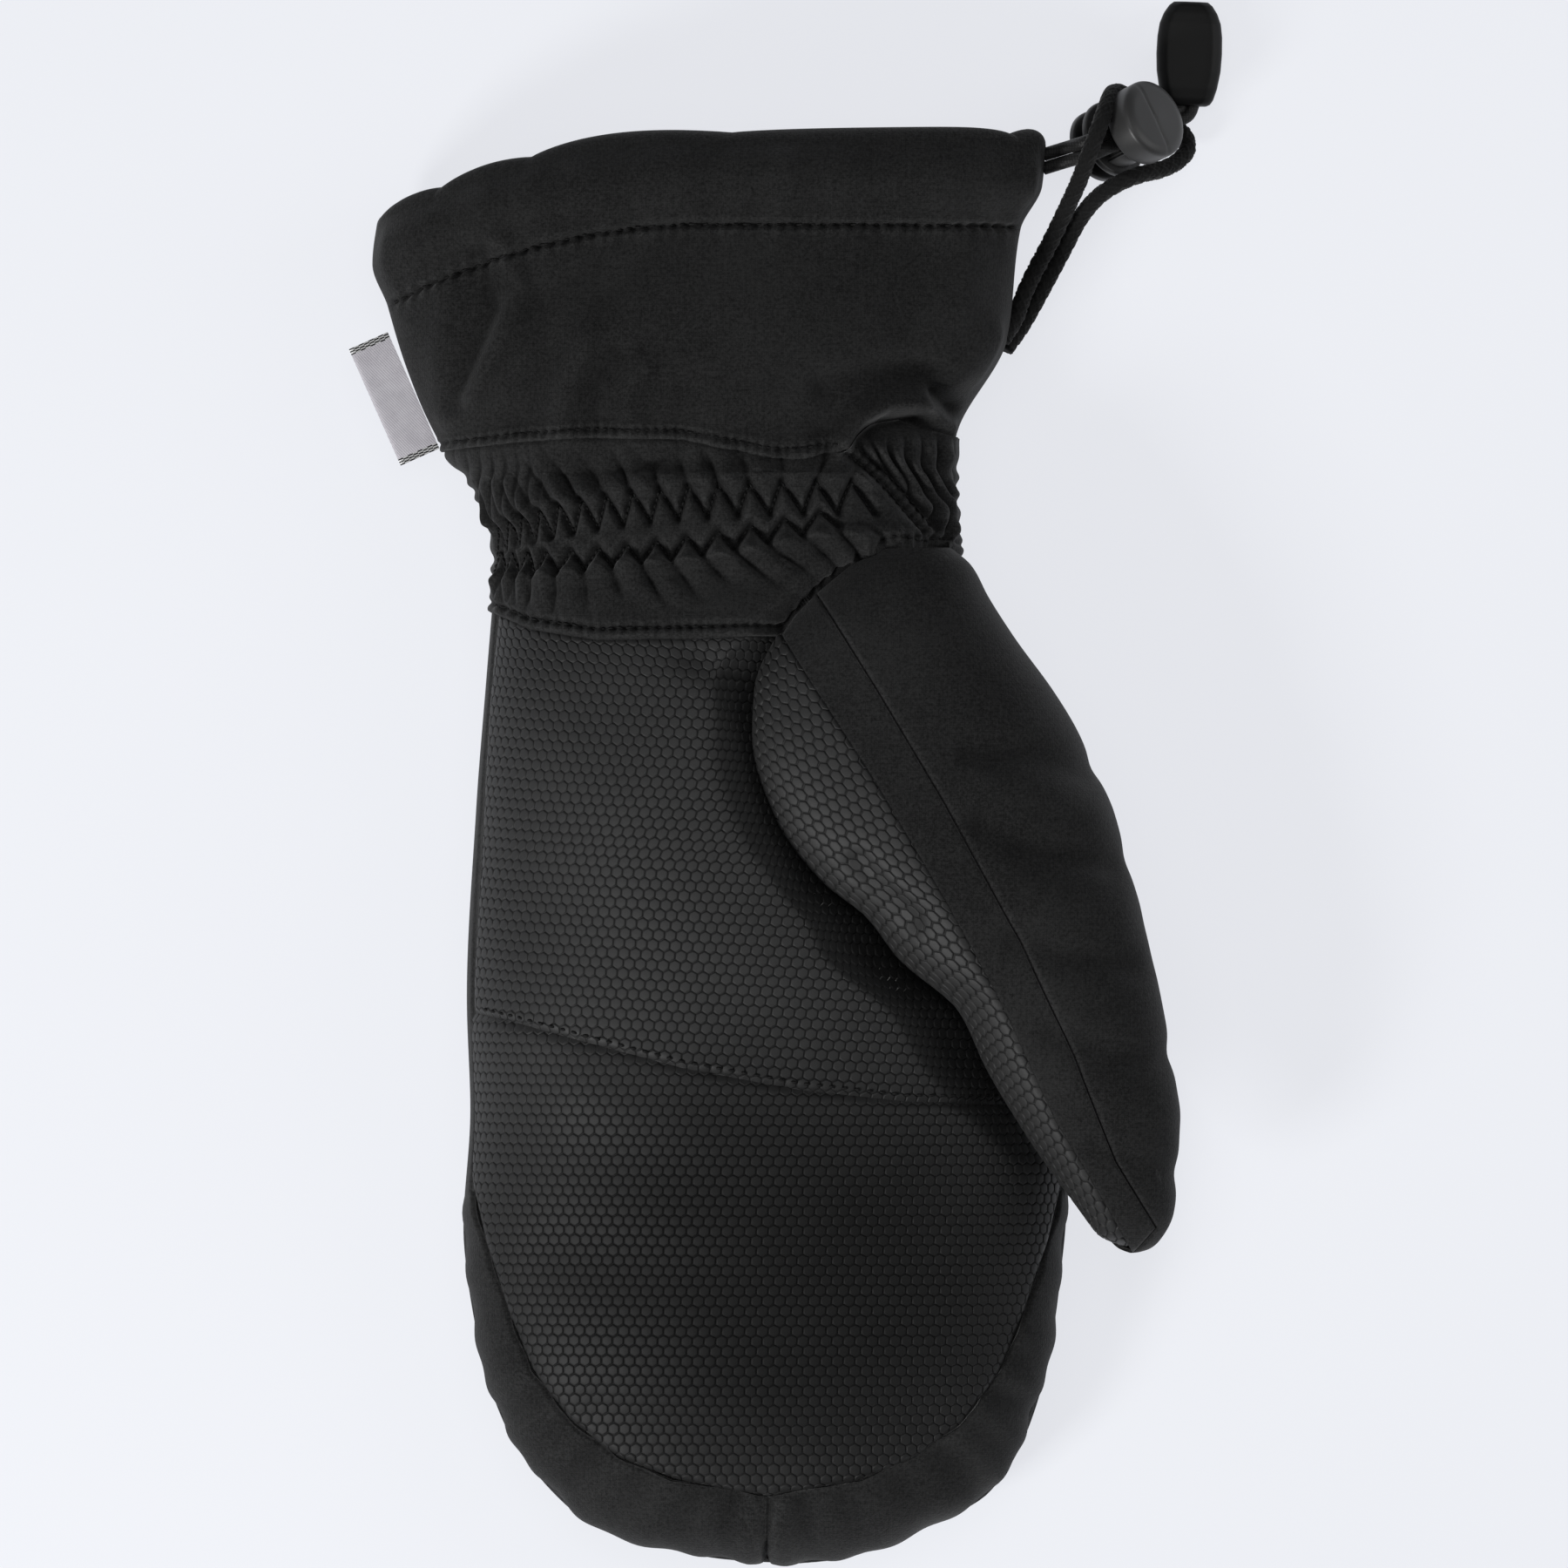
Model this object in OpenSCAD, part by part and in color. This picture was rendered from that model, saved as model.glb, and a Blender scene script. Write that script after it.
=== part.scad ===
// Left-hand snow mitten, lying on its back with the palm up.
//
// Frame: millimetres. +Y runs from the fingertip to the mouth of the cuff, +X towards the thumb
// and +Z out of the palm. The origin is the middle of the mitten's footprint, on the surface it
// lies on. The free cords and the pieces on them don't count towards that footprint.
//
// The cloth pieces are closed sheets between two depths of one of two forms: the hand form,
// which runs from the fingertip to the rim of the cuff, and the thumb form.

/* [Overall size] */
// Length from the fingertip to the rim of the cuff
mitten_l = 330; // [290:5:370]
// Width across the palm below the thumb
palm_w = 138; // [120:2:156]
// Thickness of the padded palm as it lies
palm_t = 54; // [46:1:60]

/* [Layers] */
// Thickness of the outer cloth and palm leather
shell_t = 0.9; // [0.6:0.1:1.1]
// Thickness of the padding around the hand
padding_t = 4.4; // [3:0.2:5]
// Thickness of the brushed lining
lining_t = 1.0; // [0.6:0.1:1.2]
// Thickness of the thin foam in the cuff
cuff_foam_t = 1.4; // [1:0.1:1.8]

/* [Drawcord and tether] */
// Diameter of the elastic drawcord
elastic_d = 3.1; // [2.5:0.1:3.2]
// Diameter of the braided tether
tether_d = 4; // [3.4:0.1:4.2]

/* [Cord lock] */
// Diameter of the barrel
barrel_d = 18.6; // [17:0.1:20]
// Length of the barrel
barrel_l = 15; // [14:0.5:17]
// Diameter of the plunger
plunger_d = 11.6; // [10:0.1:12]
// How far the plunger can be pressed
press_travel = 3; // [2:0.1:3.2]

/* [Cord end] */
// Width of the moulded cord end
end_w = 15.2; // [12:0.2:18]
// Length of the moulded cord end
end_l = 24; // [20:0.5:28]
// Thickness of the moulded cord end
end_t = 7.6; // [6:0.2:9]

/* [Side label] */
// Length of the label along the seam
label_l = 29.4; // [20:0.2:32]
// How far the label stands out of the seam
label_w = 9.6; // [6:0.2:10]
// Thickness of the folded label
label_t = 0.8; // [0.5:0.1:1.2]

/* [Hidden] */

// Scale of the tables below, which are written for a 330 x 138 x 54 mm mitten.
kx = palm_w / 138;
ky = mitten_l / 330;
kz = palm_t / 54;

gap = 0.2;                                       // left open along each sewn seam
padding_d = shell_t + 1.1;                       // depth at which the padding starts
lining_d = padding_d + padding_t + 0.4;          // depth at which the lining starts
cuff_foam_d = shell_t + 0.4;                     // the same two in the cuff
cuff_lining_d = cuff_foam_d + cuff_foam_t + 0.4;

// Hand form: station along Y, left edge, right edge, top, lowest point, height of the side seams
// and how far the left side of that station is pulled towards the fingertip.
hand_table = [
    [-165,   7.0,   8.6, 15.6, 14.4, 15,  0],
    [-164,  -9.0,  18.0, 20.0, 10.0, 15,  0],
    [-162, -20.0,  25.0, 24.0,  7.0, 15,  0],
    [-157, -37.4,  37.0, 30.0,  3.0, 14,  0],
    [-149, -48.0,  52.0, 35.0,  0.0, 14,  0],
    [-131, -60.4,  62.5, 42.0,  0.0, 14,  0],
    [-113, -65.8,  67.0, 46.5,  0.0, 14,  0],
    [ -87, -69.0,  70.0, 50.0,  0.0, 14,  0],
    [ -60, -67.4,  71.5, 52.0,  0.0, 14,  0],
    [ -34, -68.2,  71.5, 53.0,  0.0, 14,  0],
    [  10, -66.0,  66.0, 54.0,  0.0, 14,  0],
    [  38, -63.8,  57.0, 52.0,  0.0, 14,  0],
    [  55, -62.4,  50.0, 47.0,  0.0, 14,  0],
    [  67, -61.4,  45.6, 42.0,  0.0, 14,  0],
    [  86, -67.0,  44.2, 41.0,  0.0, 14,  1],
    [  94, -73.4,  44.6, 43.0,  0.0, 14,  2],
    [ 118, -81.0,  56.6, 44.0,  0.0, 14, 10],
    [ 143, -86.4,  59.6, 41.0,  0.0, 14, 18],
    [ 153, -90.0,  64.6, 43.0,  0.0, 14, 18],
    [ 165, -88.6,  65.6, 38.0,  0.0, 15, 18]
];

// Thumb form: station along Y, left edge, right edge, top, lowest point, height of the left edge
// and height of the right edge.
thumb_table = [
    [-92.4, 84.2, 85.4, 36.8, 36.0, 36.4, 36.4],
    [-91.4, 80.6, 88.8, 40.0, 33.6, 36.6, 36.6],
    [-89.0, 77.4, 91.4, 43.6, 31.4, 37.0, 37.0],
    [-83.0, 72.6, 94.2, 48.6, 29.4, 38.0, 38.0],
    [-75.8, 67.4, 95.0, 52.0, 28.2, 39.0, 39.0],
    [-63.8, 59.4, 95.4, 55.0, 27.4, 40.0, 40.0],
    [-49.6, 51.2, 94.4, 57.0, 27.2, 40.0, 39.0],
    [-37.0, 45.0, 92.0, 58.0, 27.0, 41.0, 38.0],
    [-25.0, 31.0, 89.4, 59.0, 27.0, 42.0, 37.0],
    [-15.6, 23.8, 87.0, 60.0, 26.0, 43.0, 36.0],
    [ -7.2, 13.4, 85.0, 60.0, 22.0, 44.0, 35.0],
    [  7.6,  3.0, 81.0, 60.0, 17.0, 45.0, 32.0],
    [ 26.8, -2.2, 72.4, 59.0, 16.0, 45.0, 30.0],
    [ 36.6, -1.8, 66.6, 58.0, 16.0, 44.0, 30.0],
    [ 49.4,  3.8, 57.4, 55.0, 16.0, 43.0, 30.0],
    [ 58.0, 11.6, 51.6, 51.0, 17.0, 40.0, 30.0],
    [ 65.0, 20.0, 47.6, 46.0, 20.0, 37.0, 31.0],
    [ 69.0, 28.0, 43.0, 42.0, 26.0, 35.0, 32.0]
];

// Seams, as X at a station along Y or Y at a place along X.
leather_seam_x = [[-92.4, 84.8], [-79.8, 77.4], [-62.4, 67.0], [-37, 55.6], [-10, 40.8],
    [15, 26], [38, 11.2], [49, 4.4], [69, 29]];
back_seam_x = [[-92.4, 85.0], [-86.6, 90.0], [-71.4, 80.4], [-47.6, 71.0], [-21.2, 58.6],
    [11.4, 40.8], [37.2, 26.0], [55, 13.8], [69, 30]];
cross_seam_y = [[-70, -37], [-56, -40], [-18, -50], [8, -54.8], [33, -57.6], [72, -58.6]];
wrist_seam_y = [[-62, 55], [-53, 51], [-38, 48.6], [4, 49.4], [12, 58.4], [20, 65.4],
    [28, 69.4], [43, 69.4], [46, 67.6]];
gauntlet_seam_y = [[-74, 94], [-44, 95], [-18, 94], [4, 90], [18, 92], [44, 94]];

// Half-width of the leather palm towards the fingertip, and the middle of that band
leather_tip_w = [[-148.6, 0.8], [-145, 21], [-140, 34], [-132, 45], [-120, 54], [-106, 60],
    [-90, 65.4], [-76, 68.6], [-60, 69.6]];
tip_mid_x = 1;

top_power = 2.3;
bottom_power = 3;
tip_reach = 40;                                  // half-width under which the layers thin out
flat_cut = 1.2;                                  // how much of the round back is pressed flat
deg_step = 11.25;

// ---- the two forms ----

function pick(table, y, column) = lookup(y, [for (row = table) [row[0], row[column]]]);
function side(c, power) = sign(c) * pow(abs(c), 2 / power);
function shrink(size, reach, depth) = size - depth * min(1, size / reach);
function tip_shift(y, from, over, depth) = depth * min(1, max(0, (from - y) / over));

// Half-width, middle and edge height of the thumb at a station
function thumb_half(y) = (pick(thumb_table, y, 2) - pick(thumb_table, y, 1)) / 2;
function thumb_mid(y) = (pick(thumb_table, y, 2) + pick(thumb_table, y, 1)) / 2;
function thumb_rim(y, q) = (pick(thumb_table, y, 5) * (1 - q) + pick(thumb_table, y, 6) * (1 + q)) / 2;

// Highest that the palm may be: a ramp down to the thumb's left edge, and a low bed under the thumb
bed_slope = 1.1;
function bed(x, y) =
    y < -92.4 || y > 69 ? 1000
    : let (
        left = pick(thumb_table, y, 1),
        edge_z = thumb_rim(y, -1) - lookup(y, [[-22, 6.5], [-8, 2]])
    )
    max(pick(thumb_table, y, 4) - 3.5, edge_z - bed_slope * (x - left));

// Point of the hand form at a station, an angle (0 right side seam, 90 palm, 180 left) and a depth
function hand_point(y, angle, depth) =
    let (
        left = pick(hand_table, y, 1),
        right = pick(hand_table, y, 2),
        top = pick(hand_table, y, 3),
        low = pick(hand_table, y, 4),
        seam = pick(hand_table, y, 5),
        drop = pick(hand_table, y, 6),
        half = (right - left) / 2,
        up = sin(angle) >= 0,
        power = up ? top_power : bottom_power,
        across = side(cos(angle), power),
        x = (left + right) / 2 + shrink(half, tip_reach, depth) * across,
        rise = up ? shrink(top - seam, 14, depth) : shrink(seam - low, 9, depth),
        full = up ? rise : rise + flat_cut * min(1, rise / 10),
        lift = min(rise, full * pow(abs(sin(angle)), 2 / power)),
        free_z = up ? seam + lift : seam - lift,
        z = up ? max(seam, min(free_z, bed(x, y) - depth)) : free_z,
        pulled = drop * pow(max(0, -across), 2)
    )
    [x * kx, (y - pulled + tip_shift(y, -60, 105, depth)) * ky, z * kz];

// Angle on the hand form where the upper side passes a given X
function hand_angle(y, x) =
    let (
        left = pick(hand_table, y, 1),
        right = pick(hand_table, y, 2),
        q = max(-1, min(1, (x - (left + right) / 2) / ((right - left) / 2)))
    )
    acos(sign(q) * pow(abs(q), top_power / 2));

// Point of the thumb form, with the same angles
function thumb_point(y, angle, depth) =
    let (
        half = thumb_half(y),
        q = side(cos(angle), 2),
        rim = thumb_rim(y, q),
        up = sin(angle) >= 0,
        rise = up ? pick(thumb_table, y, 3) - rim : rim - pick(thumb_table, y, 4),
        lift = shrink(rise, 11, depth) * abs(sin(angle)),
        x = thumb_mid(y) + shrink(half, 14, depth) * q
    )
    [x * kx, (y + tip_shift(y, -40, 52, depth)) * ky, (up ? rim + lift : rim - lift) * kz];

function thumb_angle(y, x) = acos(max(-1, min(1, (x - thumb_mid(y)) / thumb_half(y))));

// Where the thumb's underside ends: at the hand's side seam by the base, all round further out
function thumb_end_angle(y) =
    lookup(y, [[-92.4, -180], [-22, -180], [-8, -84], [20, -72], [69, -60]]);

// ---- closed sheets ----

function last(list) = len(list) - 1;
function blend(a, b, t) = a + (b - a) * t;
function steps(a, b, n) = [for (i = [0:n]) blend(a, b, i / n)];

// Closed sheet between two grids of points, outer and inner, both [row][column]
module sheet(outer, inner) {
    rows = len(outer);
    cols = len(outer[0]);
    count = rows * cols;
    points = concat([for (r = outer) each r], [for (r = inner) each r]);
    function at(layer, r, c) = layer * count + r * cols + c;
    skins = [for (r = [0:rows - 2]) for (c = [0:cols - 2]) each [
        [at(0, r, c), at(0, r, c + 1), at(0, r + 1, c + 1)],
        [at(0, r, c), at(0, r + 1, c + 1), at(0, r + 1, c)],
        [at(1, r, c), at(1, r + 1, c + 1), at(1, r, c + 1)],
        [at(1, r, c), at(1, r + 1, c), at(1, r + 1, c + 1)]
    ]];
    ends = [for (c = [0:cols - 2]) each [
        [at(0, 0, c), at(1, 0, c), at(1, 0, c + 1)],
        [at(0, 0, c), at(1, 0, c + 1), at(0, 0, c + 1)],
        [at(0, rows - 1, c), at(1, rows - 1, c + 1), at(1, rows - 1, c)],
        [at(0, rows - 1, c), at(0, rows - 1, c + 1), at(1, rows - 1, c + 1)]
    ]];
    sides = [for (r = [0:rows - 2]) each [
        [at(0, r, 0), at(1, r + 1, 0), at(1, r, 0)],
        [at(0, r, 0), at(0, r + 1, 0), at(1, r + 1, 0)],
        [at(0, r, cols - 1), at(1, r, cols - 1), at(1, r + 1, cols - 1)],
        [at(0, r, cols - 1), at(1, r + 1, cols - 1), at(0, r + 1, cols - 1)]
    ]];
    polyhedron(points, concat(skins, ends, sides));
}

// Sheet of the hand form between stations y0(angle) and y1(angle), over a list of angles
module hand_sheet(angles, y0, y1, rows, depth, thick) {
    function grid(d) = [for (t = steps(0, 1, rows))
        [for (a = angles) hand_point(blend(y0(a), y1(a), t), a, d)]];
    sheet(grid(depth), grid(depth + thick));
}

// Sheet of the hand form over a list of stations, from angle a0(y) to angle a1(y)
module hand_strip(stations, a0, a1, cols, depth, thick) {
    function grid(d) = [for (y = stations)
        [for (t = steps(0, 1, cols)) hand_point(y, blend(a0(y), a1(y), t), d)]];
    sheet(grid(depth), grid(depth + thick));
}

module thumb_sheet(stations, a0, a1, cols, depth, thick) {
    function grid(d) = [for (y = stations)
        [for (t = steps(0, 1, cols)) thumb_point(y, blend(a0(y), a1(y), t), d)]];
    sheet(grid(depth), grid(depth + thick));
}

function along_seam(table, y) = function(a) lookup(hand_point(y, a, 0).x / kx, table);
function shifted(f, by) = function(a) f(a) + by;
function level(y) = function(a) y;

upper_angles = steps(0, 180, 16);
lower_angles = steps(180, 360, 16);
tip_stations = [-165, -164, -162, -157, -152];
leather_stations = [-148.6, -147, -144, -139, -131, -120, -106, -90, -76, -68];
hand_end_y = 50;
hand_stations = concat(tip_stations, leather_stations, [-60, -48, -36, -28, -23, -19.5, -17, -15, -13, -4,
    8, 20, 32, 44]);
back_stations = concat(hand_stations, [hand_end_y - gap]);
thumb_stations = [-92.4, -91.4, -89, -84, -76, -64, -50, -37, -25, -16, -8, 8, 27, 37, 49, 58,
    65, 69];

wrist_seam = along_seam(wrist_seam_y, 58);
cross_seam = along_seam(cross_seam_y, -48);
gauntlet_seam = along_seam(gauntlet_seam_y, 94);
hem_y = 143;

// The palm stops at the thumb's left seam by the thumb's base, and below it at the side seam
function palm_right_angle(y) =
    y > -13 ? hand_angle(y, pick(thumb_table, min(y, 49), 1) - 0.8)
    : y > -24 ? blend(hand_angle(-13, pick(thumb_table, -13, 1) - 0.8), 0, (-13 - y) / 11)
    : 0;

// ---- outer shell of the hand ----

module hand_back() {
    color("#232323")
        hand_strip(back_stations, level(180), level(360), 16, 0, shell_t);
}

module palm_upper() {
    stations = [for (y = back_stations) if (y > -37) min(y, hand_end_y - 1.4)];
    function row(y, d) = [for (s = steps(0, 1, 16))
        hand_point(y, blend(palm_right_angle(y), 180, s), d)];
    function bottom_row(d) = [for (a = steps(0, 180, 16)) hand_point(cross_seam(a) + gap, a, d)];
    function grid(d) = concat([bottom_row(d)], [for (y = stations) row(y, d)]);
    color("#2a2a2b") sheet(grid(0), grid(shell_t));
}

module palm_fingers() {
    stations = leather_stations;
    function left_at(y) = hand_angle(y, tip_mid_x - pick(leather_tip_w, y, 1));
    function right_at(y) = hand_angle(y, tip_mid_x + pick(leather_tip_w, y, 1));
    function top_row(a) = cross_seam(a) - gap;
    function grid(d) = concat(
        [for (y = stations) [for (s = steps(0, 1, 16)) hand_point(y, blend(right_at(y), left_at(y), s), d)]],
        [[for (s = steps(0, 1, 16)) let (a = blend(right_at(-68), left_at(-68), s)) hand_point(top_row(a), a, d)]]
    );
    color("#2a2a2b") sheet(grid(0), grid(shell_t));
}

// Plain band between the leather and the side seam, from the side to the middle of the tip
module tip_band(to_left) {
    stations = concat(tip_stations, [for (y = leather_stations) if (y < -80) y]);
    function leather_edge(y) =
        tip_mid_x + (to_left ? -1 : 1) * (pick(leather_tip_w, max(y, -148.6), 1) + gap);
    function inner_at(y) = hand_angle(y, y < -149 ? tip_mid_x + (to_left ? -gap : gap) : leather_edge(y));
    first = function(y) to_left ? inner_at(y) : 0;
    second = function(y) to_left ? 180 : inner_at(y);
    color("#232323") hand_strip(stations, first, second, 7, 0, shell_t);
}

module tip_band_left() {
    tip_band(true);
}

module tip_band_right() {
    tip_band(false);
}

// ---- outer shell of the wrist and cuff ----

module wrist_palm() {
    color("#232323")
        hand_sheet(steps(0, 180, 26), shifted(wrist_seam, gap + 0.6), shifted(gauntlet_seam, -gap), 5, 0, shell_t);
}

module wrist_back() {
    color("#232323")
        hand_sheet(lower_angles, level(hand_end_y + gap), level(94 - gap), 4, 0, shell_t);
}

module gauntlet_palm() {
    color("#232323")
        hand_sheet(upper_angles, shifted(gauntlet_seam, gap), level(hem_y - gap), 4, 0, shell_t);
}

module gauntlet_back() {
    color("#232323")
        hand_sheet(lower_angles, level(94 + gap), level(hem_y - gap), 4, 0, shell_t);
}

// Hem: the cloth turned inwards at the rim, with a channel between its two walls
hem_inner_d = 6.2;
module hem_tunnel() {
    profile = [[0, hem_y], [0, 165], [hem_inner_d, 165], [hem_inner_d, hem_y],
        [hem_inner_d - shell_t, hem_y], [hem_inner_d - shell_t, 165 - shell_t],
        [shell_t, 165 - shell_t], [shell_t, hem_y]];
    angles = [for (a = [0:deg_step:359]) a];
    turns = len(angles);
    sides = len(profile);
    points = [for (a = angles) each [for (p = profile) hand_point(p[1], a, p[0])]];
    faces = [for (i = [0:turns - 1]) for (j = [0:sides - 1])
        let (
            here = i * sides, next = ((i + 1) % turns) * sides, k = (j + 1) % sides
        )
        each [[here + j, next + j, next + k], [here + j, next + k, here + k]]];
    color("#232323") polyhedron(points, faces);
}

// Two elastic tapes sewn under the palm side of the wrist, held by the zigzag rows
module elastic_tape(y_left, y_right) {
    angles = [for (a = upper_angles) if (a > 40 && a < 170) a];
    middle = function(a) blend(y_left, y_right, (170 - a) / 130);
    color("#1b1b1b")
        hand_sheet(angles, shifted(middle, -3.6), shifted(middle, 3.6), 1, shell_t + 0.8, 0.6);
}

module elastic_tape_upper() {
    elastic_tape(77, 80);
}

module elastic_tape_lower() {
    elastic_tape(65.5, 71.5);
}

// ---- padding and lining ----

module palm_layer(depth, thick) {
    function grid(d) = [for (y = hand_stations)
        [for (s = steps(0, 1, 16)) hand_point(y, blend(palm_right_angle(y), 180, s), d)]];
    sheet(grid(depth), grid(depth + thick));
}

module padding_palm() {
    color("#dcdcd8") palm_layer(padding_d, padding_t);
}

module padding_back() {
    color("#dcdcd8") hand_strip(hand_stations, level(180), level(360), 16, padding_d, padding_t);
}

module lining_palm() {
    color("#18181a") palm_layer(lining_d, lining_t);
}

module lining_back() {
    color("#18181a") hand_strip(hand_stations, level(180), level(360), 16, lining_d, lining_t);
}

// A layer all round the cuff, from the wrist to the hem, as one tube
module cuff_layer(depth, thick, y0) {
    angles = [for (a = [0:deg_step:359]) a];
    turns = len(angles);
    ys = [for (y = [74, 86, 94, 106, 118, 130, hem_y - 1]) if (y >= y0) y];
    rows = len(ys);
    sides = 2 * rows;
    points = [for (a = angles) each concat(
        [for (y = ys) hand_point(y, a, depth)],
        [for (i = [rows - 1:-1:0]) hand_point(ys[i], a, depth + thick)]
    )];
    faces = [for (i = [0:turns - 1]) for (j = [0:sides - 1])
        let (
            here = i * sides, next = ((i + 1) % turns) * sides, k = (j + 1) % sides
        )
        each [[here + j, next + j, next + k], [here + j, next + k, here + k]]];
    polyhedron(points, faces);
}

module padding_cuff() {
    color("#dcdcd8") cuff_layer(cuff_foam_d + 1, cuff_foam_t, 86);
}

module lining_cuff() {
    color("#18181a") cuff_layer(cuff_lining_d + 1, lining_t, 74);
}

// ---- thumb ----

module thumb_leather() {
    color("#2a2a2b") thumb_sheet(thumb_stations,
        function(y) thumb_angle(y, lookup(y, leather_seam_x)) + gap,
        function(y) 180, 6, 0, shell_t);
}

module thumb_strip() {
    color("#232323") thumb_sheet([for (y = thumb_stations) if (y > -84) y],
        function(y) thumb_angle(y, max(lookup(y, back_seam_x), lookup(y, leather_seam_x) + 0.6)) + gap,
        function(y) thumb_angle(y, lookup(y, leather_seam_x)) - gap, 3, 0, shell_t);
}

module thumb_back() {
    function seam_at(y) = y > -84
        ? thumb_angle(y, max(lookup(y, back_seam_x), lookup(y, leather_seam_x) + 0.6)) - gap
        : thumb_angle(y, lookup(y, leather_seam_x)) - gap;
    color("#232323") thumb_sheet(thumb_stations,
        function(y) thumb_end_angle(y) + gap,
        function(y) seam_at(y), 12, 0, shell_t);
}

module thumb_layer(depth, thick) {
    thumb_sheet(thumb_stations, function(y) thumb_end_angle(y) + gap, function(y) 180, 16, depth, thick);
}

module padding_thumb() {
    color("#dcdcd8") thumb_layer(padding_d + 0.3, 3.4);
}

module lining_thumb() {
    color("#18181a") thumb_layer(padding_d + 4.2, lining_t);
}

// ---- side label ----

// Start of the label's seam line, its direction and its height on the side of the cuff
label_at = [-86.3 * kx, 119.4 * ky, 14 * kz];
label_turn = -66;
module side_label() {
    color("#bdb9c4")
        translate(label_at)
            rotate([0, 0, label_turn])
                translate([0, -label_w - 0.4, -label_t / 2])
                    cube([label_l, label_w, label_t]);
}

// ---- cords ----

// Tube with a ring of points round each point of a route
module tube(route, d, sides) {
    n = len(route);
    function heading(i) =
        let (
            v = route[min(i + 1, n - 1)] - route[max(i - 1, 0)]
        )
        v / norm(v);
    function across_of(h) =
        let (
            v = abs(h.z) < 0.9 ? cross(h, [0, 0, 1]) : cross(h, [1, 0, 0])
        )
        v / norm(v);
    points = [for (i = [0:n - 1])
        let (
            h = heading(i), u = across_of(h), w = cross(h, u)
        )
        each [for (k = [0:sides - 1])
            route[i] + d / 2 * (cos(360 * k / sides) * u + sin(360 * k / sides) * w)]];
    walls = [for (i = [0:n - 2]) for (k = [0:sides - 1])
        let (
            a = i * sides + k, b = i * sides + (k + 1) % sides
        )
        each [[a, b, b + sides], [a, b + sides, a + sides]]];
    caps = [[for (k = [sides - 1:-1:0]) k], [for (k = [0:sides - 1]) (n - 1) * sides + k]];
    polyhedron(points, concat(walls, caps));
}

// Cord lock: place of its middle and the way its axis points, from the plunger to the cap
lock_at = [85.4, 166, 16.9];
lock_tilt = 47;
lock_heading = 25;
lock_axis = [sin(lock_tilt) * cos(lock_heading), sin(lock_tilt) * sin(lock_heading), cos(lock_tilt)];
slot_axis = [cos(lock_tilt) * cos(lock_heading), cos(lock_tilt) * sin(lock_heading), -sin(lock_tilt)];
lock_across = [-sin(lock_heading), cos(lock_heading), 0];
slot_z = -2.5;                                   // height of the cord slot on the lock's axis
slot_middle = lock_at + slot_z * lock_axis;

// One strand of the doubled drawcord, from the hem through the lock to the cord end
end_at = [98.4, 172.2, 4.6];                     // middle of the cord end's lower edge
function strand(offset) = [
    [65.0, 158.6 + offset, 16.0],
    [70.5, 160.2 + offset, 18.2],
    slot_middle - 11 * slot_axis + offset * lock_across + [-1.6, -0.6, -0.6],
    slot_middle - 7 * slot_axis + offset * lock_across,
    slot_middle + offset * lock_across,
    slot_middle + 7 * slot_axis + offset * lock_across,
    slot_middle + 10.5 * slot_axis + offset * lock_across + [0.6, 0.0, 0.2],
    [94.6, 169.4 + 0.8 * offset, 6.2],
    [97.6 - offset * 0.6, 170.6 + 0.5 * offset, 4.9],
    [98.4 - offset, 173.6, 4.6],
    [98.6 - offset, 176.4, 4.6]
];

// The stretch hidden in the hem, all round the cuff
hem_run = [for (a = [6:12:354]) hand_point(158 - 3 * cos(a) * cos(a), a, 3.1)];

module drawcord() {
    half = elastic_d / 2 + 0.05;
    first = strand(half);
    second = strand(-half);
    route = concat([for (i = [last(first):-1:0]) first[i]], hem_run, second);
    color("#141414") tube(route, elastic_d, 8);
}

tether_route = [
    [55.4, 117.6, 15.6], [58.4, 122.4, 12.6], [60.4, 128, 11], [63, 133.6, 10.8], [66.4, 140, 12.8],
    [69.8, 147, 16.2], [72.8, 153.6, 21], [75.2, 160, 25.6], [77.6, 166.4, 26.4], [79.4, 171.4, 22.8],
    [81, 174.4, 16.6], [83.8, 174.2, 10], [88, 171, 5], [93.2, 168.6, 2.6], [97.4, 165.8, 2.6],
    [98.4, 162, 4.2], [95.8, 158.8, 7.8], [91.8, 156.8, 12], [87.4, 155.6, 16], [82.4, 153.6, 18.4],
    [77.4, 150.4, 15.6], [73.2, 145.4, 11.6], [69.6, 138.6, 8.6], [66, 131.8, 7.2],
    [62.4, 125.2, 7.4], [59.6, 120.4, 8.4], [56.2, 115.6, 11]
];
module tether() {
    color("#121212") tube(tether_route, tether_d, 8);
}

// ---- cord lock and cord end ----

module lock_frame() {
    translate(lock_at)
        rotate([0, lock_tilt, lock_heading])
            children();
}

// Slot for the two strands, across the barrel
module cord_slot(low, high) {
    width = 2 * elastic_d + 1.0;
    translate([-barrel_d, -width / 2, low])
        cube([2 * barrel_d, width, high - low]);
}

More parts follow.
